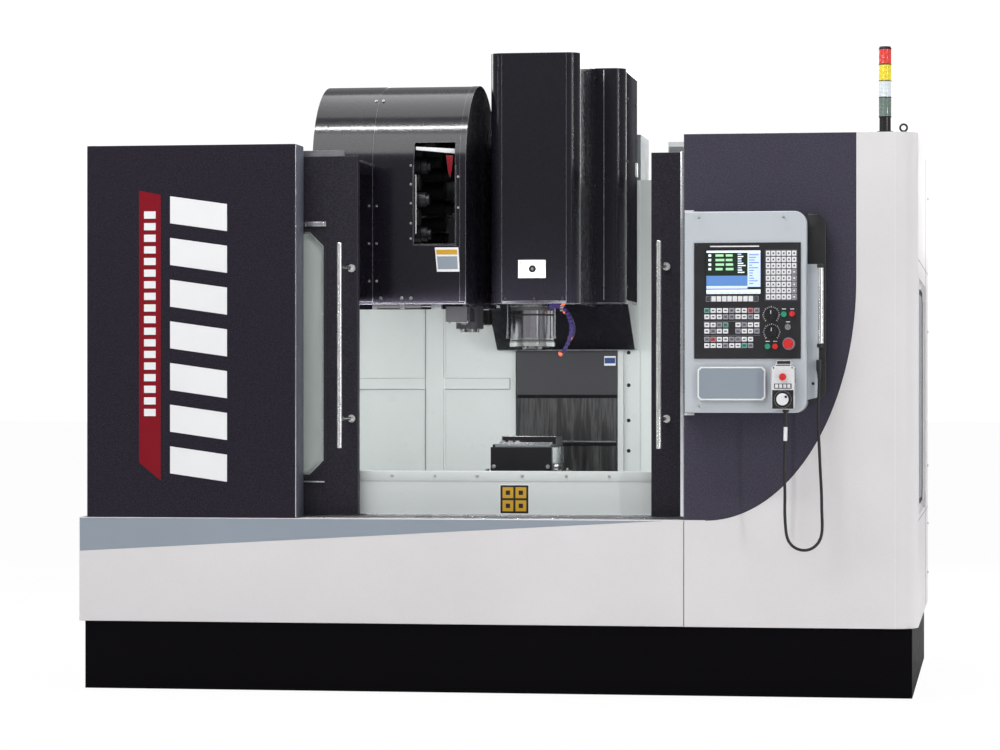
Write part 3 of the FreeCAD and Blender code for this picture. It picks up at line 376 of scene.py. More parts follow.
# ---------------------------------------------------------------- mesh pieces
class Piece:
    """One added object: shapes gathered in a mesh, each in its own paint, riding on one body."""

    def __init__(self, name, body, slot):
        self.name, self.body, self.slot = name, body, slot
        self.mesh = bmesh.new()
        self.used = []

    def shape(self, points, faces, paint, rounding=0.0, segments=2):
        """A closed shape from points in the row frame, its edges rounded by that many millimetres."""
        if paint not in self.used:
            self.used.append(paint)
        corners = [self.mesh.verts.new(p) for p in points]
        made = [self.mesh.faces.new([corners[i] for i in face]) for face in faces]
        for face in made:
            face.material_index = self.used.index(paint)
        if rounding:
            edges = {e for face in made for e in face.edges}
            bmesh.ops.bevel(self.mesh, geom=list(edges), offset=rounding * MM, segments=segments,
                            profile=0.5, affect="EDGES", clamp_overlap=True)

    def prism(self, outline, push, paint, rounding=0.0, segments=2):
        """A flat outline of (x, depth, z) points pushed along (x, depth, z)."""
        base = [at(*p) for p in outline]
        shift = Vector(push) * MM
        n = len(base)
        faces = [list(range(n))[::-1], list(range(n, 2 * n))]
        faces += [[i, (i + 1) % n, n + (i + 1) % n, n + i] for i in range(n)]
        self.shape(base + [p + shift for p in base], faces, paint, rounding, segments)

    def box(self, x0, x1, d0, d1, z0, z1, paint, rounding=0.0, segments=2):
        self.prism([(x0, d0, z0), (x1, d0, z0), (x1, d0, z1), (x0, d0, z1)], (0, d1 - d0, 0),
                   paint, rounding, segments)

    def front_plate(self, x_z, d0, d1, paint, rounding=0.0):
        self.prism([(x, d0, z) for x, z in x_z], (0, d1 - d0, 0), paint, rounding)

    def side_plate(self, d_z, x0, x1, paint, rounding=0.0):
        self.prism([(x0, d, z) for d, z in d_z], (x1 - x0, 0, 0), paint, rounding)

    def lathe(self, start, way, profile, paint, sides=32):
        """Turns (distance, radius) points about the line from start along way."""
        axis = Vector(way).normalized()
        across = axis.orthogonal().normalized()
        other = axis.cross(across)
        rings = []
        for distance, radius in profile:
            centre = at(*start) + axis * distance * MM
            rings.append([centre + (across * math.cos(t) + other * math.sin(t)) * max(radius, 0.01) * MM
                          for t in (2 * math.pi * i / sides for i in range(sides))])
        points = [p for ring in rings for p in ring]
        faces = [list(range(sides))[::-1], list(range(len(points) - sides, len(points)))]
        for k in range(len(rings) - 1):
            a, b = k * sides, (k + 1) * sides
            faces += [[a + i, a + (i + 1) % sides, b + (i + 1) % sides, b + i] for i in range(sides)]
        self.shape(points, faces, paint)

    def rod(self, start, way, length, radius, paint, chamfer=0.0, sides=32):
        c = chamfer
        profile = [(0, radius - c), (c, radius), (length - c, radius), (length, radius - c)]
        self.lathe(start, way, profile if c else profile[1:3], paint, sides)

    def screw(self, x, depth, z, way, radius=5.0, paint="bolt_zinc"):
        """Socket-head screw standing on a face, pointing along way."""
        h = radius * 0.9
        self.lathe((x, depth, z), way, [(-0.5, radius * 1.5), (0.8, radius * 1.5), (0.8, radius), (h, radius),
                                        (h + 0.6, radius * 0.85), (h + 0.6, radius * 0.5), (h * 0.4,
                                                radius * 0.45)],
                   paint, 16)

    def screws(self, xs, depths, zs, way, radius=5.0, paint="bolt_zinc"):
        """A screw at each combination of the places; each argument is one number or several."""
        places = [p if isinstance(p, (tuple, list)) else (p,) for p in (xs, depths, zs)]
        for place in itertools.product(*places):
            self.screw(*place, way, radius, paint)

    def frame(self, area, outer, inner, to_point, push, paint):
        """Band round a cut-cornered area; outer and inner are (corner cut, growth)."""
        ring(self, octagon(*area, *outer), octagon(*area, *inner), to_point, push, paint)

    def done(self, replaces=(), smooth=32):
        bmesh.ops.recalc_face_normals(self.mesh, faces=self.mesh.faces)
        data = bpy.data.meshes.new(self.name)
        self.mesh.to_mesh(data)
        self.mesh.free()
        for paint in self.used:
            data.materials.append(PAINT[paint])
        data.shade_smooth()
        data.set_sharp_from_angle(angle=math.radians(smooth))
        made = bpy.data.objects.new(self.name, data)
        bpy.context.scene.collection.objects.link(made)
        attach(made, self.body)
        if replaces:
            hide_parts(*replaces)
        return made


FRONT, BACK = (0, -1, 0), (0, 1, 0)
RIGHT, LEFT = (1, 0, 0), (-1, 0, 0)
UP, DOWN = (0, 0, 1), (0, 0, -1)
INNER_REAR = 1676.0     # depth of the rear inner wall


def octagon(x0, x1, z0, z1, cut, grow=0.0):
    """Rectangle with cut corners, grown outwards."""
    x0, x1, z0, z1 = x0 - grow, x1 + grow, z0 - grow, z1 + grow
    cut += grow * (2 - math.sqrt(2))
    return [(x0 + cut, z0), (x1 - cut, z0), (x1, z0 + cut), (x1, z1 - cut), (x1 - cut, z1), (x0 + cut, z1),
            (x0, z1 - cut), (x0, z0 + cut)]


def facing(depth):
    """Places the points of a (x, z) outline at one depth."""
    return lambda p: (p[0], depth, p[1])


def sideways(x):
    """Places the points of a (depth, z) outline at one x."""
    return lambda p: (x, p[0], p[1])


def ring(piece, outer, inner, to_point, push, paint):
    """Closed band between two outlines with the same number of points, pushed along (x, depth, z)."""
    n = len(outer)
    flat = [at(*to_point(p)) for p in outer + inner]
    shift = Vector(push) * MM
    points = flat + [p + shift for p in flat]
    faces = []
    for i in range(n):
        j = (i + 1) % n
        faces += [[i, j, n + j, n + i], [2 * n + i, 2 * n + j, 3 * n + j, 3 * n + i],
                  [i, j, 2 * n + j, 2 * n + i], [n + i, n + j, 3 * n + j, 3 * n + i]]
    piece.shape(points, faces, paint)


# ---------------------------------------------------------------- CAD nodes
def paint_nodes():
    slots = {p["node"]: p["material_slot"] for p in frame["record"]["subparts"]}
    for name, node in frame["nodes"].items():
        node.data.materials.clear()
        node.data.materials.append(PAINT[slots[name]])


# ---------------------------------------------------------------- enclosure
def skirt_details():
    """Tapering band on the skirt, the seam at its right end, two bolts at the back of the plinth."""
    x0, x1, d0, d1, z0, z1 = box_mm("front_skirt")
    edge, low_left, level_at = 3.0, 575.0, 760.0
    slope = (z1 - low_left) / (level_at - x0)
    tip = x0 + (z1 - edge - low_left) / slope
    band = Piece("skirt_band", "machine_base", "shell_white")
    band.front_plate([(x0 + edge, z1 - edge), (tip, z1 - edge), (x0 + edge, low_left)], d0 - 0.7, d0 + 1,
                     "wedge_blue")
    band.done()
    seams = Piece("skirt_seams", "machine_base", "shell_white")
    seams.box(x1 - 1.2, x1 + 1.2, -0.5, 2, z0 + 2, z1 - 2, "seal_black")
    seams.done()
    feet = Piece("plinth_details", "machine_base", "base_black")
    px0, px1, pd0, pd1, pz0, pz1 = box_mm("plinth")
    feet.screws((px0 + 90, px1 - 90), pd1, pz1 - 40, BACK, 7, "bolt_black")
    feet.done()


def livery():
    """Red band and a row of plain white bars on the left cabinet's front."""
    x0, x1 = -1467.0, -1376.0
    band = Piece("livery_band", "machine_base", "cabinet_charcoal")
    band.front_plate([(x0, 2058), (x1, 2040), (x1, 866), (x0, 939)], -0.8, 1, "band_red")
    dashes, top, bottom = 18, 1972.0, 1112.0
    pitch = (top - bottom) / dashes
    for i in range(dashes):
        z = top - i * pitch
        band.box(-1446, -1397, -1.6, -0.8, z - pitch * 0.62, z, "block_white")
    band.done()
    bars = Piece("livery_bars", "machine_base", "cabinet_charcoal")
    left, right, top, bottom, count, gap, lean = -1336.0, -1096.0, 2034.0, 861.0, 7, 26.0, 34.0
    tall = (top - bottom + gap) / count - gap
    for i in range(count):
        z = top - i * (tall + gap)
        bars.front_plate([(left, z), (right, z - lean), (right, z - tall), (left, z - tall + lean)],
                         -0.8, 1, "block_white")
    bars.done()


def left_cabinet_details():
    side = Piece("left_cabinet_details", "machine_base", "cabinet_charcoal")
    x0, x1, d0, d1, z0, z1 = box_mm("left_cabinet_panels")
    out = x0 + 33
    # roof edge and the seams between panels
    side.box(out + 2, out + 30, 30, d1 - 4, z1, z1 + 3, "door_charcoal", 1)
    for z in (1100.0, 1860.0):
        side.box(out - 1.2, out + 1, 260, 1340, z - 1, z + 1, "seal_black")
    # louvred service panel on the outer side
    d_a, d_b, z_a, z_b = 420.0, 1180.0, 960.0, 1980.0
    side.frame((d_a, d_b, z_a, z_b), (50, 6), (50,), sideways(out + 1), (-2.5, 0, 0), "seal_black")
    side.side_plate(octagon(d_a, d_b, z_a, z_b, 50), out - 3, out + 1, "door_charcoal", 1)
    for i in range(16):
        z = z_a + 120 + i * 24
        side.prism([(out - 3, d_a + 150, z), (out - 10, d_a + 150, z + 2), (out - 3, d_a + 150, z + 13)],
                   (0, d_b - d_a - 300, 0), "door_charcoal", 0.6)
    for z in (z_a + 620, z_b - 200):
        side.box(out - 9, out - 3, d_b - 70, d_b - 40, z - 32, z + 32, "bolt_black", 2)
    side.done()


def window_seals(side):
    """Rubber seals and bright trim round a door's pane, and the bright strips by the left one."""
    x0, x1, d0, d1, z0, z1 = box_mm(side + "_door_window")
    face, leaf, cut = box_mm(side + "_door")[2], 36, 60.0
    piece = Piece(side + "_door_seals", side + "_door", "door_charcoal")
    for outer, inner, depth, thick, paint in ((9, -3, face - 1.5, 2.5, "seal_black"),
                                              (-2.5, -10, face + 1, 11, "trim_steel"),
                                              (9, -3, face + leaf - 1, 3, "seal_black")):
        piece.frame((x0, x1, z0, z1), (cut, outer), (cut, inner), facing(depth), (0, thick, 0), paint)
    if side == "left":
        piece.box(x1 - 92, x1 + 10, face - 5, face, z1 + 18, z1 + 40, "trim_steel", 1.5)
        piece.screw(x1 - 6, face - 5, z1 + 29, FRONT, 4)
        piece.box(x1 - 92, x1 + 4, face - 7, face, z0 - 30, z0 - 22, "trim_steel", 1.5)
    piece.done()


def handle_details(side):
    x0, x1, d0, d1, z0, z1 = box_mm(side + "_door_handle")
    bar_x = x0 + 10
    piece = Piece(side + "_handle_details", side + "_door", "handle_chrome")
    for z, way in ((z1, UP), (z0, DOWN)):
        piece.lathe((bar_x, d0 + 10, z), way, [(-0.5, 10.2), (2, 10.2), (4.5, 8.5), (5.5, 5)],
                    "handle_chrome", 24)
    piece.done()


def jamb_trims():
    """Bright strips beside the door opening and over the sill."""
    piece = Piece("jamb_trims", "machine_base", "track_steel")
    top, right_x = box_mm("left_cabinet_panels")[5] - 4, 787.0
    piece.box(right_x - 15, right_x, 8, 20, 728, 2196, "trim_steel", 2)
    piece.box(-811, -808.5, 3, 138, 718, top, "jamb_grey", 0.8)
    piece.box(-810, -806.5, 1, 7, 718, top, "trim_steel", 1)
    for d0, d1, z0, z1, paint, rounding in ((34, 44, 714, 717, "trim_steel", 1),
                                            (66, 140, 713.5, 715, "seal_black", 0.4),
                                            (200, 209, 714, 722, "trim_steel", 1)):
        piece.box(-806, right_x - 16, d0, d1, z0, z1, paint, rounding)
    piece.done()


def right_cabinet_details():
    x0, x1, d0, d1, z0, z1 = box_mm("right_cabinet_panels")
    piece = Piece("right_cabinet_details", "machine_base", "shell_white")
    # lifting eye on the roof: a foot and a ring that stands on it
    eye_x, eye_d = 1663.0, 100.0
    piece.rod((eye_x, eye_d, z1), UP, 8, 13, "bolt_black", 1, 24)
    turn, tube, steps, sides = 14.0, 4.0, 28, 10
    points, faces = [], []
    for i in range(steps):
        a = 2 * math.pi * i / steps
        for k in range(sides):
            b = 2 * math.pi * k / sides
            r = turn + tube * math.cos(b)
            points.append(at(eye_x + r * math.cos(a), eye_d + tube * math.sin(b), z1 + 24 + r * math.sin(a)))
            here, after, k_after = i * sides, (i + 1) % steps * sides, (k + 1) % sides
            faces.append([here + k, after + k, after + k_after, here + k_after])
    piece.shape(points, faces, "bolt_black")
    # side window: pane in the recess, seal round it
    d_a, d_b, z_a, z_b = 150.0, 1190.0, 731.0, 1691.0
    floor = x1 - 16
    piece.side_plate(octagon(d_a + 46, d_b - 46, z_a + 46, z_b - 46, 60), floor, floor + 3, "slate_glass",
                     0.5)
    area = (d_a, d_b, z_a, z_b)
    piece.frame(area, (70, -30), (70, -48), sideways(floor - 1), (6, 0, 0), "seal_black")
    piece.frame(area, (70, 4), (70, -1), sideways(x1 - 1), (2, 0, 0), "shell_white")
    piece.screws(floor, (d_a + 200, d_b - 200), (z_a + 22, z_b - 22), RIGHT)
    # seams and screws of the side panel, cover plate on the roof
    for z in (714.0, 1760.0):
        piece.box(x1 - 1, x1 + 0.6, 100, 1590, z - 1, z + 1, "seal_black")
    piece.box(x1 - 1, x1 + 0.6, 1210, 1212, 300, 2250, "seal_black")
    piece.screws(x1, 1560, (420.0, 640.0, 900.0, 1500.0, 2100.0), RIGHT)
    piece.box(1484, 1640, 140, 420, z1, z1 + 3, "shell_white", 1)
    piece.done()


def accent_trim():
    """Thin shadow line along the accent panel's curved and straight edge."""
    x_edge, bend, tip, sill, top = 1477.0, 1680.0, 873.0, 714.0, box_mm("right_accent_panel")[5]
    piece = Piece("accent_trim", "machine_base", "accent_charcoal")

    def on_curve(angle, grow):
        return (tip + (x_edge - tip - 1.5 + grow) * math.cos(angle),
                bend - (bend - sill - 1.5 + grow) * math.sin(angle))

    steps = 40
    for i in range(steps):
        a, b = (math.pi / 2 * (i + k) / steps for k in (0, 1))
        piece.front_plate([on_curve(a, 0), on_curve(b, 0), on_curve(b, 3), on_curve(a, 3)], -0.6, 1,
                          "seal_black")
    piece.box(x_edge - 1.5, x_edge + 1.5, -0.6, 1, bend, top - 1, "seal_black")
    piece.done()


# ---------------------------------------------------------------- inside
def splash_details():
    """Folded top, screws and foot strip of the splash panel, and its quartered square of plain colour."""
    x0, x1, face, top = -760.0, 700.0, 212.0, 903.0
    piece = Piece("splash_details", "machine_base", "inner_white")
    piece.box(x0 + 4, x1 - 4, face - 2.5, face + 1, 862, top - 1, "inner_white", 0.8)
    piece.screws((-450, -271, -92, 96, 279, 458), face - 2.5, 883, FRONT, 4.5)
    piece.box(x0 + 4, x1 - 4, face - 4, face + 1, 716, 726, "trim_steel", 1)
    sx0, sx1, sz0, sz1, gap = 4.0, 121.0, 729.0, 845.0, 9.0
    piece.box(sx0 - 3, sx1 + 3, face - 0.6, face + 1, sz0 - 3, sz1 + 3, "sign_white")
    piece.box(sx0, sx1, face - 0.9, face - 0.5, sz0, sz1, "sign_black")
    half = (sx1 - sx0 - 3 * gap) / 2
    for i, k in itertools.product((0, 1), repeat=2):
        x, z = sx0 + gap + i * (half + gap), sz0 + gap + k * (half + gap)
        piece.box(x, x + half, face - 1.3, face - 0.8, z, z + half, "sign_amber")
        piece.box(x + half * 0.3, x + half * 0.7, face - 1.6, face - 1.2, z + half * 0.3, z + half * 0.7,
                  "sign_black")
    piece.done()


def inner_wall_details():
    piece = Piece("inner_wall_details", "machine_base", "inner_white")
    # upright strip with screws at the right of the covers
    piece.box(304, 330, INNER_REAR - 34, INNER_REAR, 860, 2200, "inner_white", 2)
    piece.box(330, 404, INNER_REAR - 10, INNER_REAR, 860, 2200, "inner_white", 2)
    piece.screws(352, INNER_REAR - 10, (960.0, 1100.0, 1262.0, 1412.0, 1700.0, 1990.0), FRONT, 6,
                 "bolt_black")
    # painted shadow and highlight lines along the pressed cross: dark strips where its edges shade the wall,
    # white strips where they catch the light
    near = INNER_REAR - 5

    def line(x0, x1, z0, z1, paint="press_line"):
        piece.box(x0, x1, near - 2, near, z0, z1, paint, 0.8)

    for x, paint in ((-600.0, "press_line"), (-510.0, "sign_white")):
        line(x - 2.2, x + 2.2, 560.0, 1700.0, paint)
    for x0, x1 in ((-1140.0, -602.0), (-508.0, -203.0)):
        line(x0, x1, 1242, 1246)
        line(x0, x1, 1247, 1250, "sign_white")
        line(x0, x1, 1293, 1296)
    line(-205, -201, 1245, 1295)
    # fixed bottom sheet of the Z covers, behind the two moving ones
    top, middle = box_mm("z_cover_top"), box_mm("z_cover_middle")
    sheet = 2 * middle[2] - top[2]
    piece.box(middle[0] + 1, middle[1] - 1, sheet - 0.6, sheet + 0.5, 702, 1088, "way_cover_steel")
    # screws at the corner posts
    piece.screws((-1100.0, -860.0, 740, 1150), 212, (760.0, 1300.0, 1840.0), FRONT)
    piece.done()


def cover_details():
    """Wiper lips of the two moving Z covers, and the plain plate on the upper one."""
    x0, x1, face, d1, low, z1 = box_mm("z_cover_top")
    lip = Piece("z_cover_top_details", "head", "cover_grey")
    lip.box(x0 + 2, x1 - 2, face - 4, face, low + 1, low + 16, "seal_black", 1.5)
    lip.box(x1 - 62, x1 - 9, face - 0.8, face + 0.5, 1352, 1396, "sign_white")
    lip.box(x1 - 60, x1 - 11, face - 1.2, face - 0.7, 1362, 1388, "sign_blue")
    lip.done()
    x0, x1, face, d1, low, z1 = box_mm("z_cover_middle")
    lip = Piece("z_cover_middle_details", "z_cover_middle", "way_cover_steel")
    lip.box(x0 + 2, x1 - 2, face - 4, face, low + 1, low + 14, "seal_black", 1.5)
    lip.box(x0 + 2, x1 - 2, face - 2, face, low + 15, low + 24, "trim_steel", 1)
    lip.done()


def table_details():
    x0, x1, d0, d1, z0, z1 = box_mm("fixture_block")
    piece = Piece("fixture_details", "table", "fixture_steel")
    top = z0 + 118
    # ground steps and rails on top
    piece.box(x0 + 20, x1 - 2, d0 + 2, d0 + 30, top, top + 14, "trim_steel", 1.2)
    piece.box(x0 + 30, x1 - 4, d0 + 40, d0 + 70, top + 10, top + 20, "trim_steel", 1.2)
    for x in (x0 + 34, x0 + 66, x0 + 98):
        piece.box(x, x + 20, d0 + 62, d0 + 140, top + 11, top + 26, "trim_steel", 1.2)
    piece.box(x0 + 22, x1 - 4, d0 + 156, d0 + 200, top + 11, top + 45, "trim_steel", 1.5)
    piece.box(x1 - 1, x1 + 7, d0 + 10, d1 - 10, z0 + 44, top - 2, "trim_steel", 1.5)
    piece.rod((x1 + 6, d0 + 40, z0 + 30), RIGHT, 22, 17, "table_iron", 2)
    piece.lathe((x1 + 28, d0 + 40, z0 + 30), RIGHT, [(0, 11), (10, 11), (12, 9)], "bolt_black", 6)
    piece.screws((x0 + 14, x1 - 14), d0, z0 + 34, FRONT, 6)
    for x in (x0 - 26, x1 + 26):
        for d in (d0 + 70, d1 - 70):
            piece.box(x - 20, x + 20, d - 14, d + 14, z0, z0 + 12, "bolt_black", 2)
            piece.lathe((x, d, z0 + 12), UP, [(0, 10), (9, 10), (10, 9)], "bolt_zinc", 6)
    piece.done()


# ---------------------------------------------------------------- head
def head_details():
    x0, x1, d0, d1, z0, z1 = box_mm("head_cover")
    piece = Piece("head_details", "head", "head_black")
    # white plate with a ringed push button
    px0, px1, pz0, pz1 = 2.0, 122.0, 1717.0, 1795.0
    piece.box(px0 - 4, px1 + 4, d0 - 2, d0 + 1, pz0 - 4, pz1 + 4, "seal_black", 1)
    piece.box(px0, px1, d0 - 3.2, d0 - 1.5, pz0, pz1, "sign_white", 0.6)
    button = ((px0 + px1) / 2 + 2, d0 - 3, (pz0 + pz1) / 2)
    piece.lathe(button, FRONT, [(0, 15), (3, 15), (4, 13.5), (4, 8), (2, 7.5)], "sign_black", 28)
    piece.lathe(button, FRONT, [(0, 6), (5, 6), (6, 5)], "bolt_zinc", 20)
    for x, z in itertools.product((px0 + 12, px1 - 12), (pz0 + 12, pz1 - 12)):
        piece.lathe((x, d0 - 3, z), FRONT, [(0, 3), (1.2, 3), (1.6, 2)], "bolt_zinc", 12)
    # folded seams beside the rounded corners, bottom hem, screws
    for x in (x1 - 54, x0 + 54):
        piece.box(x - 0.8, x + 0.8, d0 - 0.8, d0 + 1, z0 + 6, z1 - 8, "head_black")
    piece.box(x0 + 54, x1 - 54, d0 - 1.4, d0, z0 + 1, z0 + 12, "head_black", 0.6)
    piece.screws((x0 + 70, (x0 + x1) / 2, x1 - 70), d0 - 1.2, z0 + 22, FRONT, 4, "bolt_black")
    for x, way in ((x1, RIGHT), (x0, LEFT)):
        piece.screws(x, d1 - 30, (z0 + 60, (z0 + z1) / 2, z1 - 60), way, 4, "bolt_black")
    # plate on top
    piece.box(x0 + 60, x1 - 60, d0 + 70, d1 - 60, z1 - 1, z1 + 1.5, "head_black", 0.7)
    piece.done()
    x0, x1, d0, d1, z0, z1 = box_mm("saddle_cover")
    saddle = Piece("saddle_cover_details", "head", "head_black")
    seam = 300.0
    # seam line: a real seam, drawn in bright steel as a painted highlight along the fold
    saddle.box(seam - 1.2, seam + 1.2, d0 - 1, d0 + 1, 1640, z1 - 8, "trim_steel", 0.3)
    # matt black sheet over the right side: painted shade, darker than the cover's own paint
    saddle.box(x1 - 0.5, x1 + 1.2, d0 + 56, d1 - 8, 1640, z1 - 12, "matt_black", 0.5)
    saddle.box(x1 - 1, x1 + 9, 1556, 1606, 2214, 2276, "sign_white", 2)
    saddle.screws(x1, (1270, 1580), (1700.0, 1980.0, 2260.0, 2540.0), RIGHT, 5, "bolt_black")
    saddle.box(x0 + 2, x1 - 2, 1558, 1564, 1421, 1426, "trim_steel", 1)
    saddle.done()


def spindle_details():
    x0, x1, d0, d1, z0, z1 = box_mm("spindle_cartridge")
    centre, depth = (x0 + x1) / 2, (d0 + d1) / 2
    piece = Piece("spindle_details", "head", "spindle_steel")
    for i in range(8):
        a = math.pi / 8 + i * math.pi / 4
        piece.screw(centre + 72 * math.cos(a), depth + 72 * math.sin(a), z0, DOWN, 5, "bolt_black")
    # rings round the housing, pipes beside it
    for z, r, paint in ((1456.0, 95.0, "trim_steel"), (1560.0, 94.2, "seal_black"),
                        (1600.0, 96.0, "trim_steel")):
        piece.lathe((centre, depth, z), UP, [(0, r - 1), (1, r), (7, r), (8, r - 1)], paint, 64)
    piece.lathe((centre, depth, 1428), UP, [(0, 97.6), (0.5, 98.4), (16, 98.4), (16.5, 97.6)],
                "handle_chrome", 64)
    piece.lathe((centre, depth, 1446), UP, [(0, 93.2), (0.5, 94.4), (9, 94.4), (9.5, 93.2)], "bolt_black", 64)
    piece.lathe((centre, depth, 1582), UP, [(0, 93.4), (0.5, 94.4), (30, 94.4), (31, 93.4)], "bolt_black", 64)
    for x, d in ((101, -26), (-106, -20)):
        piece.rod((centre + x, depth + d, 1470), UP, 142, 4.5, "trim_steel", 1, 16)
        piece.rod((centre + x, depth + d, 1462), UP, 12, 7, "bolt_zinc", 1, 6)
    piece.done()
    nose = Piece("spindle_nose_details", "spindle", "spindle_steel")
    low = box_mm("spindle_shaft")[4] + 6
    nose.lathe((centre, depth, low), DOWN, [(-1, 43), (1, 43), (1.6, 42), (1.6, 27), (-1, 26)], "trim_steel",
               48)
    nose.done()


def nozzle_details():
    piece = Piece("nozzle_valves", "head", "hose_blue")
    for x, d, z, turn in ((176, 785, 1600, 0.3), (176, 825, 1590, -0.4)):
        piece.rod((x - 14, d, z), RIGHT, 20, 13.5, "bolt_zinc", 1, 6)
        lever = (math.cos(turn) * 0.3, -1, math.sin(turn))
        piece.rod((x, d, z), lever, 30, 4, "valve_orange", 1, 12)
        piece.lathe((x, d, z), lever, [(26, 5), (28, 9), (44, 9), (46, 6)], "valve_orange", 14)
    for x, d, z in ((165, 812, 1398), (208, 794, 1462)):
        piece.lathe((x, d, z), (-0.25, 0.2, -0.9), [(-4, 10.5), (2, 10.5), (12, 6.6), (13, 5)],
                    "valve_orange", 16)
    piece.done()


# ---------------------------------------------------------------- tool changer
def magazine_outline(grow, steps=36):
    """(depth, z) points of the housing's section, from the front bottom over the top to the rear."""
    x0, x1, d0, d1, z0, z1 = box_mm("magazine_housing")
    radius = (d1 - d0) / 2
    middle, spring = (d0 + d1) / 2, z1 - radius
    arc = [(middle - (radius + grow) * math.cos(math.pi * i / steps),
            spring + (radius + grow) * math.sin(math.pi * i / steps)) for i in range(steps + 1)]
    return [(d0 - grow, z0)] + arc + [(d1 + grow, z0)]


def wrap(piece, x0, x1, grow, paint):
    """Thin sheet bent over the magazine housing between two x places."""
    outer, inner = magazine_outline(grow), magazine_outline(-0.5)
    n = len(outer)
    points = [at(x, *p) for x in (x0, x1) for p in outer + inner]
    faces = []
    for i in range(n - 1):
        a, b, c, d = i, i + 1, n + i + 1, n + i
        faces += [[a, b, c, d], [2 * n + a, 2 * n + b, 2 * n + c, 2 * n + d], [a, b, 2 * n + b, 2 * n + a],
                  [d, c, 2 * n + c, 2 * n + d]]
    faces += [[0, n, 3 * n, 2 * n], [n - 1, 2 * n - 1, 4 * n - 1, 3 * n - 1]]
    piece.shape(points, faces, paint)


def magazine_details():
    x0, x1, d0, d1, z0, z1 = box_mm("magazine_housing")
    piece = Piece("magazine_details", "machine_base", "head_black")
    seam = -595.0
    wrap(piece, x0 - 1, seam, 1.6, "head_black")
    wrap(piece, x1 - 26, x1 + 1, 1.4, "head_black")
    # screws each side of the seam, along the front and over the top
    for d, z in ((d0 + 150, 2480), (d0, 2020), (d0, 1860), (d0, 1700)):
        way = FRONT if d == d0 else (0, -0.75, 0.66)
        for x in (seam - 16, seam + 16):
            piece.screw(x, d + (0 if d == d0 else -8), z, way, 4, "bolt_zinc")
    # loading window: bright top lip, hinge strip, screws, red tab
    wx0, wx1, wz0 = -417.0, -241.0, 1857.0
    for x in (wx0 - 3, wx1 + 3):
        piece.box(x - 3, x + 3, d0 - 1.5, d0 + 2, wz0 - 6, 2190, "door_charcoal", 1)
    piece.box(wx0 - 6, wx1 + 6, d0 - 1.5, d0 + 2, wz0 - 8, wz0, "door_charcoal", 1)
    piece.prism([(wx0 + 4, d0 + 18, 2272), (wx1 - 4, d0 + 22, 2262), (wx1 - 4, d0 + 24, 2240),
                 (wx0 + 60, d0 + 20, 2252),
                 (wx0 + 4, d0 + 18, 2256)], (0, 3, 0), "block_white", 0.8)
    piece.prism([(-281, d0 + 8, 2232), (-250, d0 + 8, 2232), (-256, d0 + 8, 2168), (-264, d0 + 8, 2137),
                 (-272, d0 + 8, 2160)], (0, 4, 0), "band_red", 1)
    piece.screws(wx0 - 14, d0, (2190.0, 2110.0, 2030.0, 1945.0, 1880.0), FRONT, 3.5)
    piece.screws(wx1 + 14, d0, (2140.0, 2010.0), FRONT, 3.5)
    piece.rod((wx0 + 8, d0 - 3, 1900), UP, 250, 4, "bolt_zinc", 1, 12)
    # plain plate low on the front
    piece.front_plate([(-327, 1842), (-226, 1842), (-220, 1739), (-318, 1739)], d0 - 1, d0 + 1, "sign_white")
    piece.front_plate([(-322, 1832), (-232, 1832), (-230, 1812), (-320, 1812)], d0 - 1.5, d0 - 0.8,
                      "sign_amber")
    piece.front_plate([(-318, 1804), (-231, 1804), (-228, 1750), (-313, 1750)], d0 - 1.5, d0 - 0.8,
                      "wedge_blue")
    # bottom hem, hinges and the fittings under the front edge
    piece.box(x0 + 6, x1 - 4, d0 - 2, d0 + 2, z0 + 1, z0 + 10, "head_black", 1)
    piece.screws((-690.0, -560.0, -470.0, -430.0), d0 - 2, z0 + 26, FRONT)
    piece.rod((-600, d0 + 22, z0 - 8), RIGHT, 210, 9, "bolt_black", 1.5, 20)
    piece.rod((-390, d0 + 22, z0 - 8), RIGHT, 46, 4, "trim_steel", 0.5, 14)
    for x in (-600.0, -480.0):
        piece.box(x, x + 18, d0 + 10, d0 + 34, z0 - 20, z0 + 3, "bolt_black", 1.5)
    piece.box(-345, -300, d0 + 8, d0 + 36, z0 - 22, z0 + 3, "trim_steel", 2)
    piece.done()


def arm_details():
    x0, x1, d0, d1, z0, z1 = box_mm("change_arm")
    x, middle = (x0 + x1) / 2, (d0 + d1) / 2
    piece = Piece("change_arm_details", "change_arm", "arm_black")
    for side in (-1, 1):
        d = middle + side * 150
        piece.box(x - 22, x + 22, d - 46, d + 46, z0 + 22, z0 + 30, "trim_steel", 1.5)
        piece.screws(x, (d - 30, d + 30), z0 + 22, DOWN, 6)
        piece.rod((x, middle + side * 60, z0 + 58), (0, side, 0), 120, 9, "trim_steel", 1, 18)
        tip = middle + side * 276
        for k in (-1, 1):
            piece.rod((x + k * 36, tip - side * 6, z0 + 18), UP, 12, 7, "bolt_zinc", 1, 16)
    for i in range(6):
        a = math.pi / 6 + i * math.pi / 3
        piece.screw(x + 46 * math.cos(a), middle + 46 * math.sin(a), z0, DOWN, 5, "bolt_zinc")
    piece.done()


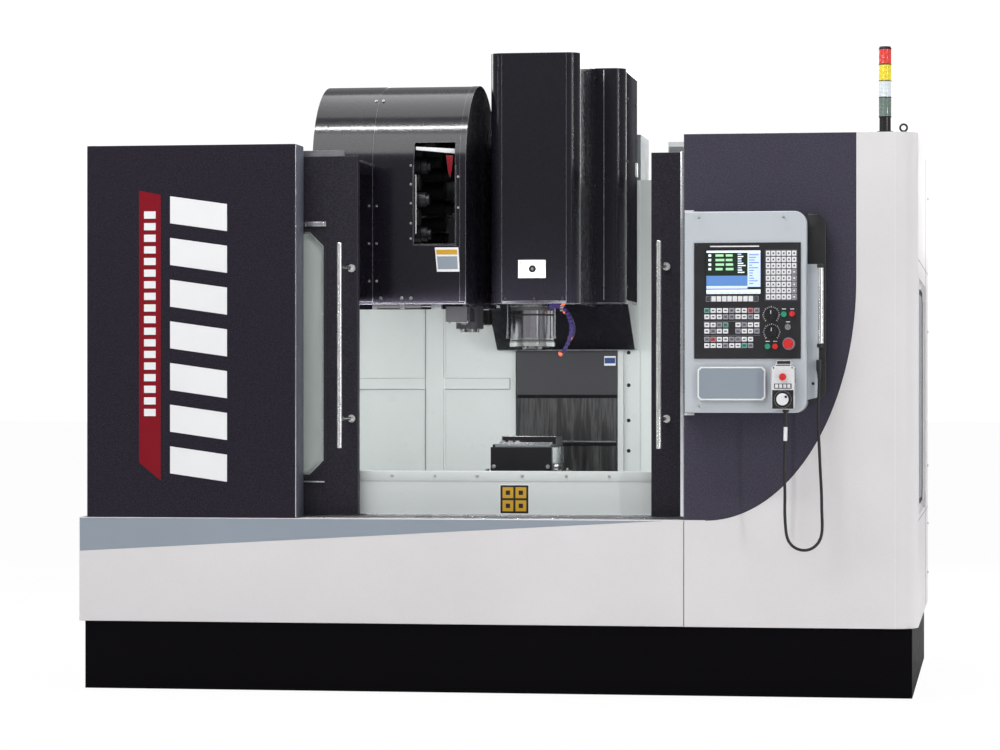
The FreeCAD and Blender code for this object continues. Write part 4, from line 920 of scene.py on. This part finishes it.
# ---------------------------------------------------------------- tower light
def tower_details():
    """Four ribbed lenses with dark rings between them, and the cap."""
    x0, x1, d0, d1, z0, z1 = box_mm("tower_lenses")
    x, d = (x0 + x1) / 2, (d0 + d1) / 2
    piece = Piece("tower_rings", "machine_base", "lens")
    for z, tall, paint in ((z0, 78, "lens_green"), (z0 + 78, 66, "lens_clear"), (z0 + 144, 66, "lens_yellow"),
                           (z0 + 210, z1 - z0 - 210, "lens")):
        profile = [(1, 24.5), (3, 25.3)]
        for k in range(8):
            a = 5 + (tall - 10) * k / 8
            profile += [(a, 25.3), (a + 2, 24.7), (a + 4, 25.3)]
        profile += [(tall - 3, 25.3), (tall - 1, 24.5)]
        piece.lathe((x, d, z), UP, profile, paint, 40)
        piece.lathe((x, d, z), UP, [(-1.5, 25.6), (-1, 26), (1, 26), (1.5, 25.6)], "seal_black", 40)
    piece.lathe((x, d, z1), UP, [(-1, 25.6), (3, 25.6), (8, 22), (9.5, 14)], "seal_black", 40)
    piece.done(replaces=("tower_lenses",))


# ---------------------------------------------------------------- control panel
PANEL_FACE = -119.0     # depth of the control panel's black face


def panel_fields():
    """Header bar, soft keys, keypads, dial ticks and marks on the black face round the screen."""
    piece = Piece("panel_keys", "control_panel", "face_black")
    face = PANEL_FACE

    def field(x0, x1, z0, z1, paint, out=0.5, rounding=0.0):
        piece.box(x0, x1, face - out, face + 0.5, z0, z1, paint, rounding)

    # header bar above the screen
    field(905, 1100, 1804, 1809, "sign_white", 0.8, 0.3)
    # soft keys under the screen
    for i in range(10):
        x = 889 + i * 21.1
        field(x, x + 18, 1588, 1610, "key_white" if i not in (0, 9) else "key_dark", 1.6, 0.6)
    # right keypad
    field(1122, 1253, 1589, 1794, "key_dark", 0.5)
    for row in range(8):
        for column in range(6):
            x, z = 1127 + column * 20.7, 1768 - row * 24.7
            tone = "key_grey" if column == 5 and row > 2 else "key_white"
            field(x, x + 17.6, z, z + 20.4, tone, 1.8, 0.8)
            field(x + 5.5, x + 12, z + 7, z + 13.5, "key_dark" if tone == "key_white" else "key_white", 2.0)
    # lower-left keypad, in groups
    colours = {(0, 0): "key_green", (0, 7): "key_rose", (2, 3): "key_green", (4, 1): "key_rose",
               (5, 6): "key_green",
               (3, 8): "key_grey", (1, 4): "key_grey", (4, 5): "key_grey"}
    rows = (1543, 1518, 1486, 1461, 1429, 1404)
    for r, z in enumerate(rows):
        for c in range(9):
            if (r in (2, 3) and c == 4) or (r in (4, 5) and c == 8):
                continue
            x = 882 + c * 24.8
            field(x, x + 20.5, z, z + 18.5, colours.get((r, c), "key_white" if (r + c) % 4 else "key_grey"),
                  1.8, 0.8)
            field(x + 5, x + 15.5, z + 7, z + 12, "key_dark", 2.0)
    for z in (1453, 1509):
        field(880, 1104, z, z + 1.5, "key_grey", 0.7)
    # tick rings round the dials
    for x, z, radius in ((1148, 1534.5, 29), (1150, 1466, 29)):
        for i in range(19):
            angle = math.radians(-135 + 15 * i)
            way = Vector((math.sin(angle), math.cos(angle)))
            across = Vector((way.y, -way.x)) * 0.9
            near, far = way * radius, way * (radius + (4.5 if i % 3 else 6.5))
            corners = (near - across, near + across, far + across, far - across)
            piece.front_plate([(x + p.x, z + p.y) for p in corners], face - 0.6, face + 0.5, "sign_white")
    # frame lines round the lower fields, marks under the buttons
    for x, z in ((1198.5, 1556), (1231, 1556), (1134, 1428), (1164, 1428), (1214.6, 1505)):
        field(x - 8, x + 8, z, z + 3, "sign_white", 0.6)
    piece.lathe((1217.5, face, 1419.6), FRONT, [(-0.5, 25), (1.2, 25), (1.6, 24)], "key_grey", 48)
    for x, z in ((852, 1372), (1254, 1372), (852, 1810), (1254, 1810)):
        piece.lathe((x, face, z), FRONT, [(-0.5, 4), (1.4, 4), (2, 3)], "bolt_black", 16)
    piece.done()


def panel_screen():
    piece = Piece("panel_screen", "control_panel", "face_black")
    x0, x1, z0, z1, face = 890.0, 1106.0, 1618.0, 1790.0, PANEL_FACE
    ring(piece, octagon(x0, x1, z0, z1, 5, 5), octagon(x0, x1, z0, z1, 2, 0),
         facing(face + 0.5), (0, -4.0, 0), "knob_black")
    piece.box(x0, x1, face - 1.2, face + 0.5, z0, z1, "screen_dark")

    def field(a, b, c, d, paint, out=1.7):
        """Part of the screen between shares a to b of its width and c to d of its height."""
        piece.box(x0 + (x1 - x0) * a, x0 + (x1 - x0) * b, face - out, face - 1.1, z0 + (z1 - z0) * c,
                  z0 + (z1 - z0) * d, paint)

    field(0.0, 1.0, 0.95, 1.0, "screen_white")
    field(0.76, 1.0, 0.16, 0.95, "screen_pale")
    field(0.0, 0.76, 0.20, 0.42, "screen_blue")
    field(0.0, 0.76, 0.12, 0.19, "screen_pale")
    field(0.0, 1.0, 0.0, 0.10, "screen_white")
    rng = random.Random(7)
    for i in range(4):
        z = 0.86 - i * 0.105
        field(0.04, 0.09, z, z + 0.055, "screen_white", 2.0)
        field(0.17, 0.30 + 0.05 * rng.random(), z, z + 0.055, "screen_green", 2.0)
        field(0.36, 0.48 + 0.04 * rng.random(), z, z + 0.055, "screen_green", 2.0)
    for i in range(9):
        z = 0.90 - i * 0.052
        field(0.58, 0.64 + 0.10 * rng.random(), z, z + 0.026, "screen_white" if i % 3 else "screen_pale", 2.0)
    for i in range(12):
        z = 0.89 - i * 0.06
        field(0.79, 0.84 + 0.13 * rng.random(), z, z + 0.02, "screen_blue", 2.0)
    for i in range(9):
        field(0.02 + i * 0.108, 0.11 + i * 0.108, 0.012, 0.048, "screen_pale", 2.0)
    piece.done()


def panel_case():
    """Lower inset, seam, screws, rear louvres and the pendant's hook on the panel housing."""
    x0, x1, d0, d1, z0, z1 = box_mm("panel_housing")
    piece = Piece("panel_case_details", "control_panel", "panel_grey")
    inset = octagon(862, 1120, 1202, 1323, 10)
    ring(piece, octagon(856, 1126, 1196, 1329, 12), inset, facing(d0 + 0.5), (0, -2.2, 0), "sign_white")
    piece.front_plate(inset, d0 - 1.0, d0 + 0.5, "wedge_blue")
    piece.box(x0 - 0.6, x0 + 1, d0 + 40, d0 + 42, z0 + 55, z1 - 55, "seal_black")
    piece.screws((x0 + 60, x1 - 90), d0, (z0 + 26, z1 - 26), FRONT, 4)
    for i in range(6):
        z = z1 - 260 - i * 18
        piece.box(x0 + 120, x1 - 120, d1 - 1, d1 + 1.5, z, z + 7, "seal_black", 0.8)
    piece.screws((x0 + 60, x1 - 60), d1, (z0 + 60, z1 - 60), BACK, 4, "bolt_black")
    for x in (1150, 1238):
        piece.box(x, x + 8, -136, d0 + 1, 1268, 1300, "bolt_black", 1.5)
    piece.done()


def panel_flange():
    """Black side flange with the chrome grab bar on its two stand-offs."""
    flange = Piece("panel_flange", "control_panel", "handle_chrome")
    flange.prism([(1288, -60, 1190), (1330, -60, 1190), (1362, -60, 1222), (1362, -60, 1905),
                  (1330, -60, 1937),
                  (1288, -60, 1937)], (0, 30, 0), "gland_black", 4, 3)
    flange.prism([(1287, -61.5, 1196), (1326, -61.5, 1206), (1334, -61.5, 1230), (1334, -61.5, 1726),
                  (1326, -61.5, 1738),
                  (1287, -61.5, 1738)], (0, 3, 0), "panel_grey", 1.2)
    bar_x, bar_d, low, high = 1346.0, -150.0, 1404.0, 1734.0
    for z in (low + 8, high - 8):
        flange.rod((bar_x, bar_d, z), (0, 1, 0), 91, 8, "gland_black", 1, 24)
        flange.rod((bar_x, -66, z), (0, 1, 0), 7, 15, "gland_black", 1.5, 28)
        flange.rod((bar_x, bar_d, z - 8), UP, 16, 14.5, "gland_black", 2, 32)
    flange.rod((bar_x, -60, 1346), (0, -1, 0), 22, 13, "gland_black", 2, 28)
    for z in (1262, 1880):
        flange.screw(1310, -61.5 if z < 1738 else -60, z, FRONT, 4, "bolt_black")
    flange.rod((bar_x, bar_d, low + 2), UP, high - low - 4, 11.5, "handle_chrome", 1.5, 32)
    flange.done(replaces=("panel_handle",))


def pendant_details():
    x0, x1, d0, d1, z0, z1 = box_mm("pendant_body")
    piece = Piece("pendant_details", "control_panel", "pendant_white")
    middle = (x0 + x1) / 2
    for i in range(40):
        a = 2 * math.pi * i / 40
        r = 33.5
        x, z = middle + r * math.sin(a), 1200 + r * math.cos(a)
        if abs(x - middle) < 40 and z > z0 + 3:
            piece.box(x - 0.5, x + 0.5, d0 - 1.8, d0 + 0.5, z - 1.3, z + 1.3, "sign_white")
    piece.box(x0 + 2, x1 - 2, d0 - 1.2, d0 + 0.5, z0 + 2, 1237, "knob_black", 0.5)
    for x in (x0 - 3, x1 - 1):
        piece.box(x, x + 4, d0 + 4, d1 - 6, 1262, z1 - 6, "bolt_black", 1.5)
    piece.box(x0 + 10, x1 - 10, d0 - 0.7, d0 + 0.5, 1242, 1262, "key_dark")
    for i in range(4):
        piece.box(x0 + 14 + i * 16, x0 + 26 + i * 16, d0 - 1.2, d0 + 0.5, 1245, 1259, "key_white", 0.4)
    for x in (x0 + 8, x1 - 8):
        for z in (z0 + 8, z1 - 8):
            piece.lathe((x, d0, z), FRONT, [(-0.5, 3), (0.8, 3), (1.2, 2)], "bolt_black", 12)
    # side buttons and the hanging strap
    piece.box(x0 - 3, x0 + 1, d0 + 14, d0 + 34, 1212, 1256, "knob_black", 1.5)
    piece.box(x1 - 1, x1 + 3, d0 + 14, d0 + 34, 1212, 1256, "knob_black", 1.5)
    piece.box(x0 + 16, x1 - 16, d1 - 2, d1 + 2, z1 - 30, z1 + 22, "bolt_black", 2)
    piece.box(x0 + 14, x1 - 14, d0 + 10, d1 + 2, z1 - 2, z1 + 7, "bolt_black", 2)
    piece.done()


def dial_marks():
    """White pointer line on each rotary dial, and the face and knob of the pendant's dial."""
    width = 2.4
    for node in ("upper_dial", "lower_dial"):
        x0, x1, d0, d1, z0, z1 = box_mm(node)
        x = (x0 + x1) / 2
        piece = Piece(node + "_mark", node, "knob_black")
        piece.box(x - width / 2, x + width / 2, d0 - 0.5, d0 + 0.5, (z0 + z1) / 2 + 3, z1 - 3, "sign_white")
        piece.done()
    x0, x1, d0, d1, z0, z1 = box_mm("pendant_dial")
    piece = Piece("pendant_dial_mark", "pendant_dial", "knob_black")
    x, z = (x0 + x1) / 2, (z0 + z1) / 2
    piece.lathe((x, d0 + 0.4, z), FRONT, [(0, 24), (0.9, 24), (1.4, 22)], "key_white", 48)
    piece.lathe((x + 14, d0 - 0.8, z + 10), FRONT, [(0, 5), (6, 5), (7.5, 3.5)], "knob_black", 20)
    piece.done()


# ---------------------------------------------------------------- cord
CORD_POINTS = [(1208, -154, 1132), (1208, -154, 1066), (1203, -152, 985), (1202, -149, 905),
               (1205, -146, 825),
               (1203, -143, 755), (1206, -140, 697), (1211, -136, 652), (1229, -131, 621), (1261, -125, 603),
               (1297, -119, 603), (1328, -113, 622), (1346, -108, 654), (1350, -104, 698), (1347, -100, 757),
               (1346, -97, 830), (1341, -94, 910), (1337, -91, 1000), (1332, -88, 1090), (1332, -86, 1175),
               (1336, -84, 1250), (1336, -84, 1312)]
CORD_THICK = 0.012


def cord():
    curve = bpy.data.curves.new("pendant_lead", "CURVE")
    curve.dimensions = "3D"
    line = curve.splines.new("NURBS")
    line.points.add(len(CORD_POINTS) - 1)
    for point, place in zip(line.points, CORD_POINTS):
        point.co = (*at(*place), 1)
    line.order_u = 3
    line.use_endpoint_u = True
    curve.bevel_depth = CORD_THICK / 2
    curve.bevel_resolution = 5
    curve.resolution_u = 8
    curve.use_fill_caps = True
    curve.materials.append(PAINT["cord_black"])
    made = bpy.data.objects.new("pendant_lead", curve)
    bpy.context.scene.collection.objects.link(made)
    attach(made, "control_panel")
    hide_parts("pendant_cord")
    relief = Piece("cord_reliefs", "control_panel", "gland_black")
    start, end = CORD_POINTS[0], CORD_POINTS[-1]
    relief.lathe((start[0], start[1], start[2] - 42), UP,
                 [(0, 6.6), (4, 8), (8, 7.4), (12, 8.6), (16, 8), (20, 9.2), (24, 8.6), (28, 9.8), (32, 9.2),
                  (42, 10)],
                 "gland_black", 24)
    relief.lathe((end[0], end[1], end[2] - 30), UP,
                 [(0, 6.6), (4, 8), (8, 7.4), (12, 8.6), (16, 8), (20, 9.4), (30, 10)], "gland_black", 24)
    relief.lathe((1206.6, -153.6, 1036), (0.02, 0, 1), [(0, 6.5), (1.5, 7.6), (54, 7.6), (56, 6.5)],
                 "key_white", 24)
    relief.done()
    return made


# ---------------------------------------------------------------- back of the machine
def rear_details():
    """Hinges, screws and two louvred vents on the electrical door; top, louvres and glands of its cabinet."""
    x0, x1, d0, d1, z0, z1 = box_mm("electrical_door")
    door = Piece("electrical_door_details", "electrical_door", "electric_grey")
    for z in (z0 + 220, (z0 + z1) / 2, z1 - 220):
        door.box(x0 + 24, x0 + 54, d1 - 1, d1 + 5, z - 40, z + 40, "bolt_black", 2)
    heights = [z0 + 160 + k * (z1 - z0 - 320) / 2 + 90 for k in range(3)]
    door.screws((x0 + 40, x1 - 40), d1, heights, BACK, 4)
    for low, high, first, blades in ((z0 + 120, z0 + 360, z0 + 134, 14), (z1 - 330, z1 - 120, z1 - 318, 12)):
        door.frame((x0 + 230, x1 - 170, low, high), (16, 12), (14,), facing(d1 - 1), (0, 9, 0), "duct_grey")
        for i in range(blades):
            z = first + i * 16
            door.prism([(x0 + 232, d1 - 1, z), (x0 + 232, d1 + 8, z - 4), (x0 + 232, d1 - 1, z + 8)],
                       (x1 - x0 - 404, 0, 0), "duct_grey", 0.5)
    door.done()
    x0, x1, d0, d1, z0, z1 = box_mm("electrical_cabinet")
    case = Piece("electrical_cabinet_details", "machine_base", "electric_grey")
    case.box(x0 - 6, x1 + 6, d0 + 4, d1 - 2, z1 - 1, z1 + 3, "electric_grey", 1.5)
    for a, b in ((x0 - 1.8, x0), (x1, x1 + 1.8)):
        for i in range(10):
            z = z0 + 160 + i * 22
            case.box(a, b, d0 + 70, d1 - 60, z, z + 9, "seal_black", 0.4)
    for i, r in enumerate((20, 16, 16, 12)):
        x, d = x0 + 90 + i * 70, (d0 + d1) / 2
        case.rod((x, d, z0), DOWN, 26, r + 5, "bolt_black", 2, 6)
        case.rod((x, d, z0 - 24), DOWN, 30, r, "duct_grey", 2, 24)
    case.done()


def column_details():
    """Ribs on the rear of the column, and a junction box on its top."""
    piece = Piece("column_details", "machine_base", "casting_grey")
    top = 2420.0
    for z in (2140, 2210, 2280, 2350):
        piece.box(-180, 320, 2039, 2046, z, z + 12, "casting_grey", 3)
    piece.box(-200, -130, 1780, 1960, top - 1, top + 60, "electric_grey", 4)
    piece.box(-197, -133, 1786, 1954, top + 60, top + 64, "electric_grey", 1.5)
    piece.screws(-165, (1800, 1940), top + 63, UP, 4)
    piece.done()


def saddle_roof_plate():
    """Plate with four screws on the roof of the saddle cover."""
    piece = Piece("head_duct", "head", "head_black")
    x0, x1, d0, d1, z0, z1 = box_mm("saddle_cover")
    piece.box(x0 + 90, x1 - 90, d0 + 60, d1 - 60, z1 - 1, z1 + 4, "head_black", 2)
    piece.screws((x0 + 130, x1 - 130), (d0 + 90, d1 - 90), z1 + 4, UP, 5, "bolt_black")
    piece.done()


# ---------------------------------------------------------------- staging
SENSOR, LENS, SHIFT = 36.0, 105.15, (-0.12, 0.02)
CAMERA_PLACE, CAMERA_TURN = (2048, -11666, 1217), 7.42      # millimetres, degrees to the left


def floor_and_light():
    floor = Shader("studio_floor")
    floor.colour(floor.ramp(floor.noise(0.7, 3, 0.5), [(0.3, (0.82, 0.82, 0.82)), (0.7, (0.85, 0.85, 0.85))]))
    floor.set(Roughness=0.8)
    glow, path, choose = floor.node("Emission"), floor.node("LightPath"), floor.node("MixShader")
    seen = floor.math("MULTIPLY", path.outputs["Is Camera Ray"], 0.97)
    floor.link(seen, choose.inputs[0])
    floor.link(floor.main.outputs[0], choose.inputs[1])
    floor.link(glow.outputs[0], choose.inputs[2])
    floor.link(choose.outputs[0], floor.out.inputs[0])
    bpy.ops.mesh.primitive_plane_add(size=240, location=(0, 0, 0))
    ground = bpy.context.object
    ground.name = "studio_floor"
    ground.data.materials.append(floor.material)

    world = bpy.data.worlds.new("studio")
    bpy.context.scene.world = world
    world.use_nodes = True
    tree = world.node_tree
    dim = tree.nodes["Background"]
    dim.inputs[0].default_value, dim.inputs[1].default_value = (0.96, 0.98, 1.0, 1), 0.34
    white = tree.nodes.new("ShaderNodeBackground")
    white.inputs[0].default_value, white.inputs[1].default_value = (1, 1, 1, 1), 1.05
    path, choose = tree.nodes.new("ShaderNodeLightPath"), tree.nodes.new("ShaderNodeMixShader")
    tree.links.new(path.outputs["Is Camera Ray"], choose.inputs[0])
    tree.links.new(dim.outputs[0], choose.inputs[1])
    tree.links.new(white.outputs[0], choose.inputs[2])
    tree.links.new(choose.outputs[0], tree.nodes["World Output"].inputs[0])

    def area(name, place, target, size, power, tall=None, mirrored=True):
        data = bpy.data.lights.new(name, "AREA")
        data.shape, data.size, data.size_y, data.energy = "RECTANGLE", size, tall or size, power
        lamp = bpy.data.objects.new(name, data)
        bpy.context.scene.collection.objects.link(lamp)
        lamp.location = place
        lamp.rotation_euler = (Vector(target) - Vector(place)).to_track_quat("-Z", "Y").to_euler()
        lamp.visible_camera = False
        lamp.visible_glossy = mirrored

    area("key_softbox", (-2.6, -6.8, 7.2), (0, 0, 1.2), 4.0, 205)
    area("fill_softbox", (6.5, -7.0, 3.0), (0.5, 0, 1.2), 3.0, 50)
    area("top_softbox", (0.0, 0.5, 6.5), (0, 0, 1.0), 4.0, 120)
    area("chamber_left", (-0.5, -0.62, 1.50), (-0.4, 0.7, 1.1), 0.9, 9, 0.25, False)
    area("chamber_right", (0.45, -0.62, 1.45), (0.1, 0.7, 1.0), 0.9, 9, 0.25, False)
    area("rim_left", (-5.5, 2.5, 3.5), (-0.5, 0, 1.5), 2.5, 110)
    area("rim_right", (6.0, 1.0, 3.0), (0.5, 0, 1.5), 2.5, 120, None, False)
    area("strip_right", (5.0, -4.2, 1.9), (0.3, 0, 1.9), 0.05, 55, 4.2)
    area("strip_left", (-5.0, -5.5, 1.9), (-0.3, 0, 1.9), 0.05, 22, 4.2)
    area("strip_top", (-0.6, -2.9, 6.4), (-0.5, -0.3, 2.4), 3.2, 165, 0.15)
    area("rear_softbox", (1.0, 7.5, 4.0), (0.0, 0, 1.2), 4.0, 220)
    bpy.context.scene.view_settings.view_transform = "Standard"


def camera():
    data = bpy.data.cameras.new("main")
    data.sensor_width, data.lens = SENSOR, LENS
    data.shift_x, data.shift_y = SHIFT
    data.clip_end = 300
    made = bpy.data.objects.new("main", data)
    made.location = at(*CAMERA_PLACE)
    made.rotation_euler = (math.pi / 2, 0, math.radians(CAMERA_TURN))
    bpy.context.scene.collection.objects.link(made)
    bpy.context.scene.camera = made


for build in (paint_nodes, skirt_details, livery, left_cabinet_details):
    build()
for build in (window_seals, handle_details):
    build("left")
    build("right")
for build in (jamb_trims, right_cabinet_details, accent_trim, splash_details, inner_wall_details,
              cover_details,
              table_details, head_details, spindle_details, nozzle_details, magazine_details, arm_details,
              tower_details, panel_fields, panel_screen, panel_case, panel_flange, pendant_details,
              dial_marks):
    build()
lead = cord()
rear_details()
column_details()
saddle_roof_plate()
floor_and_light()
camera()
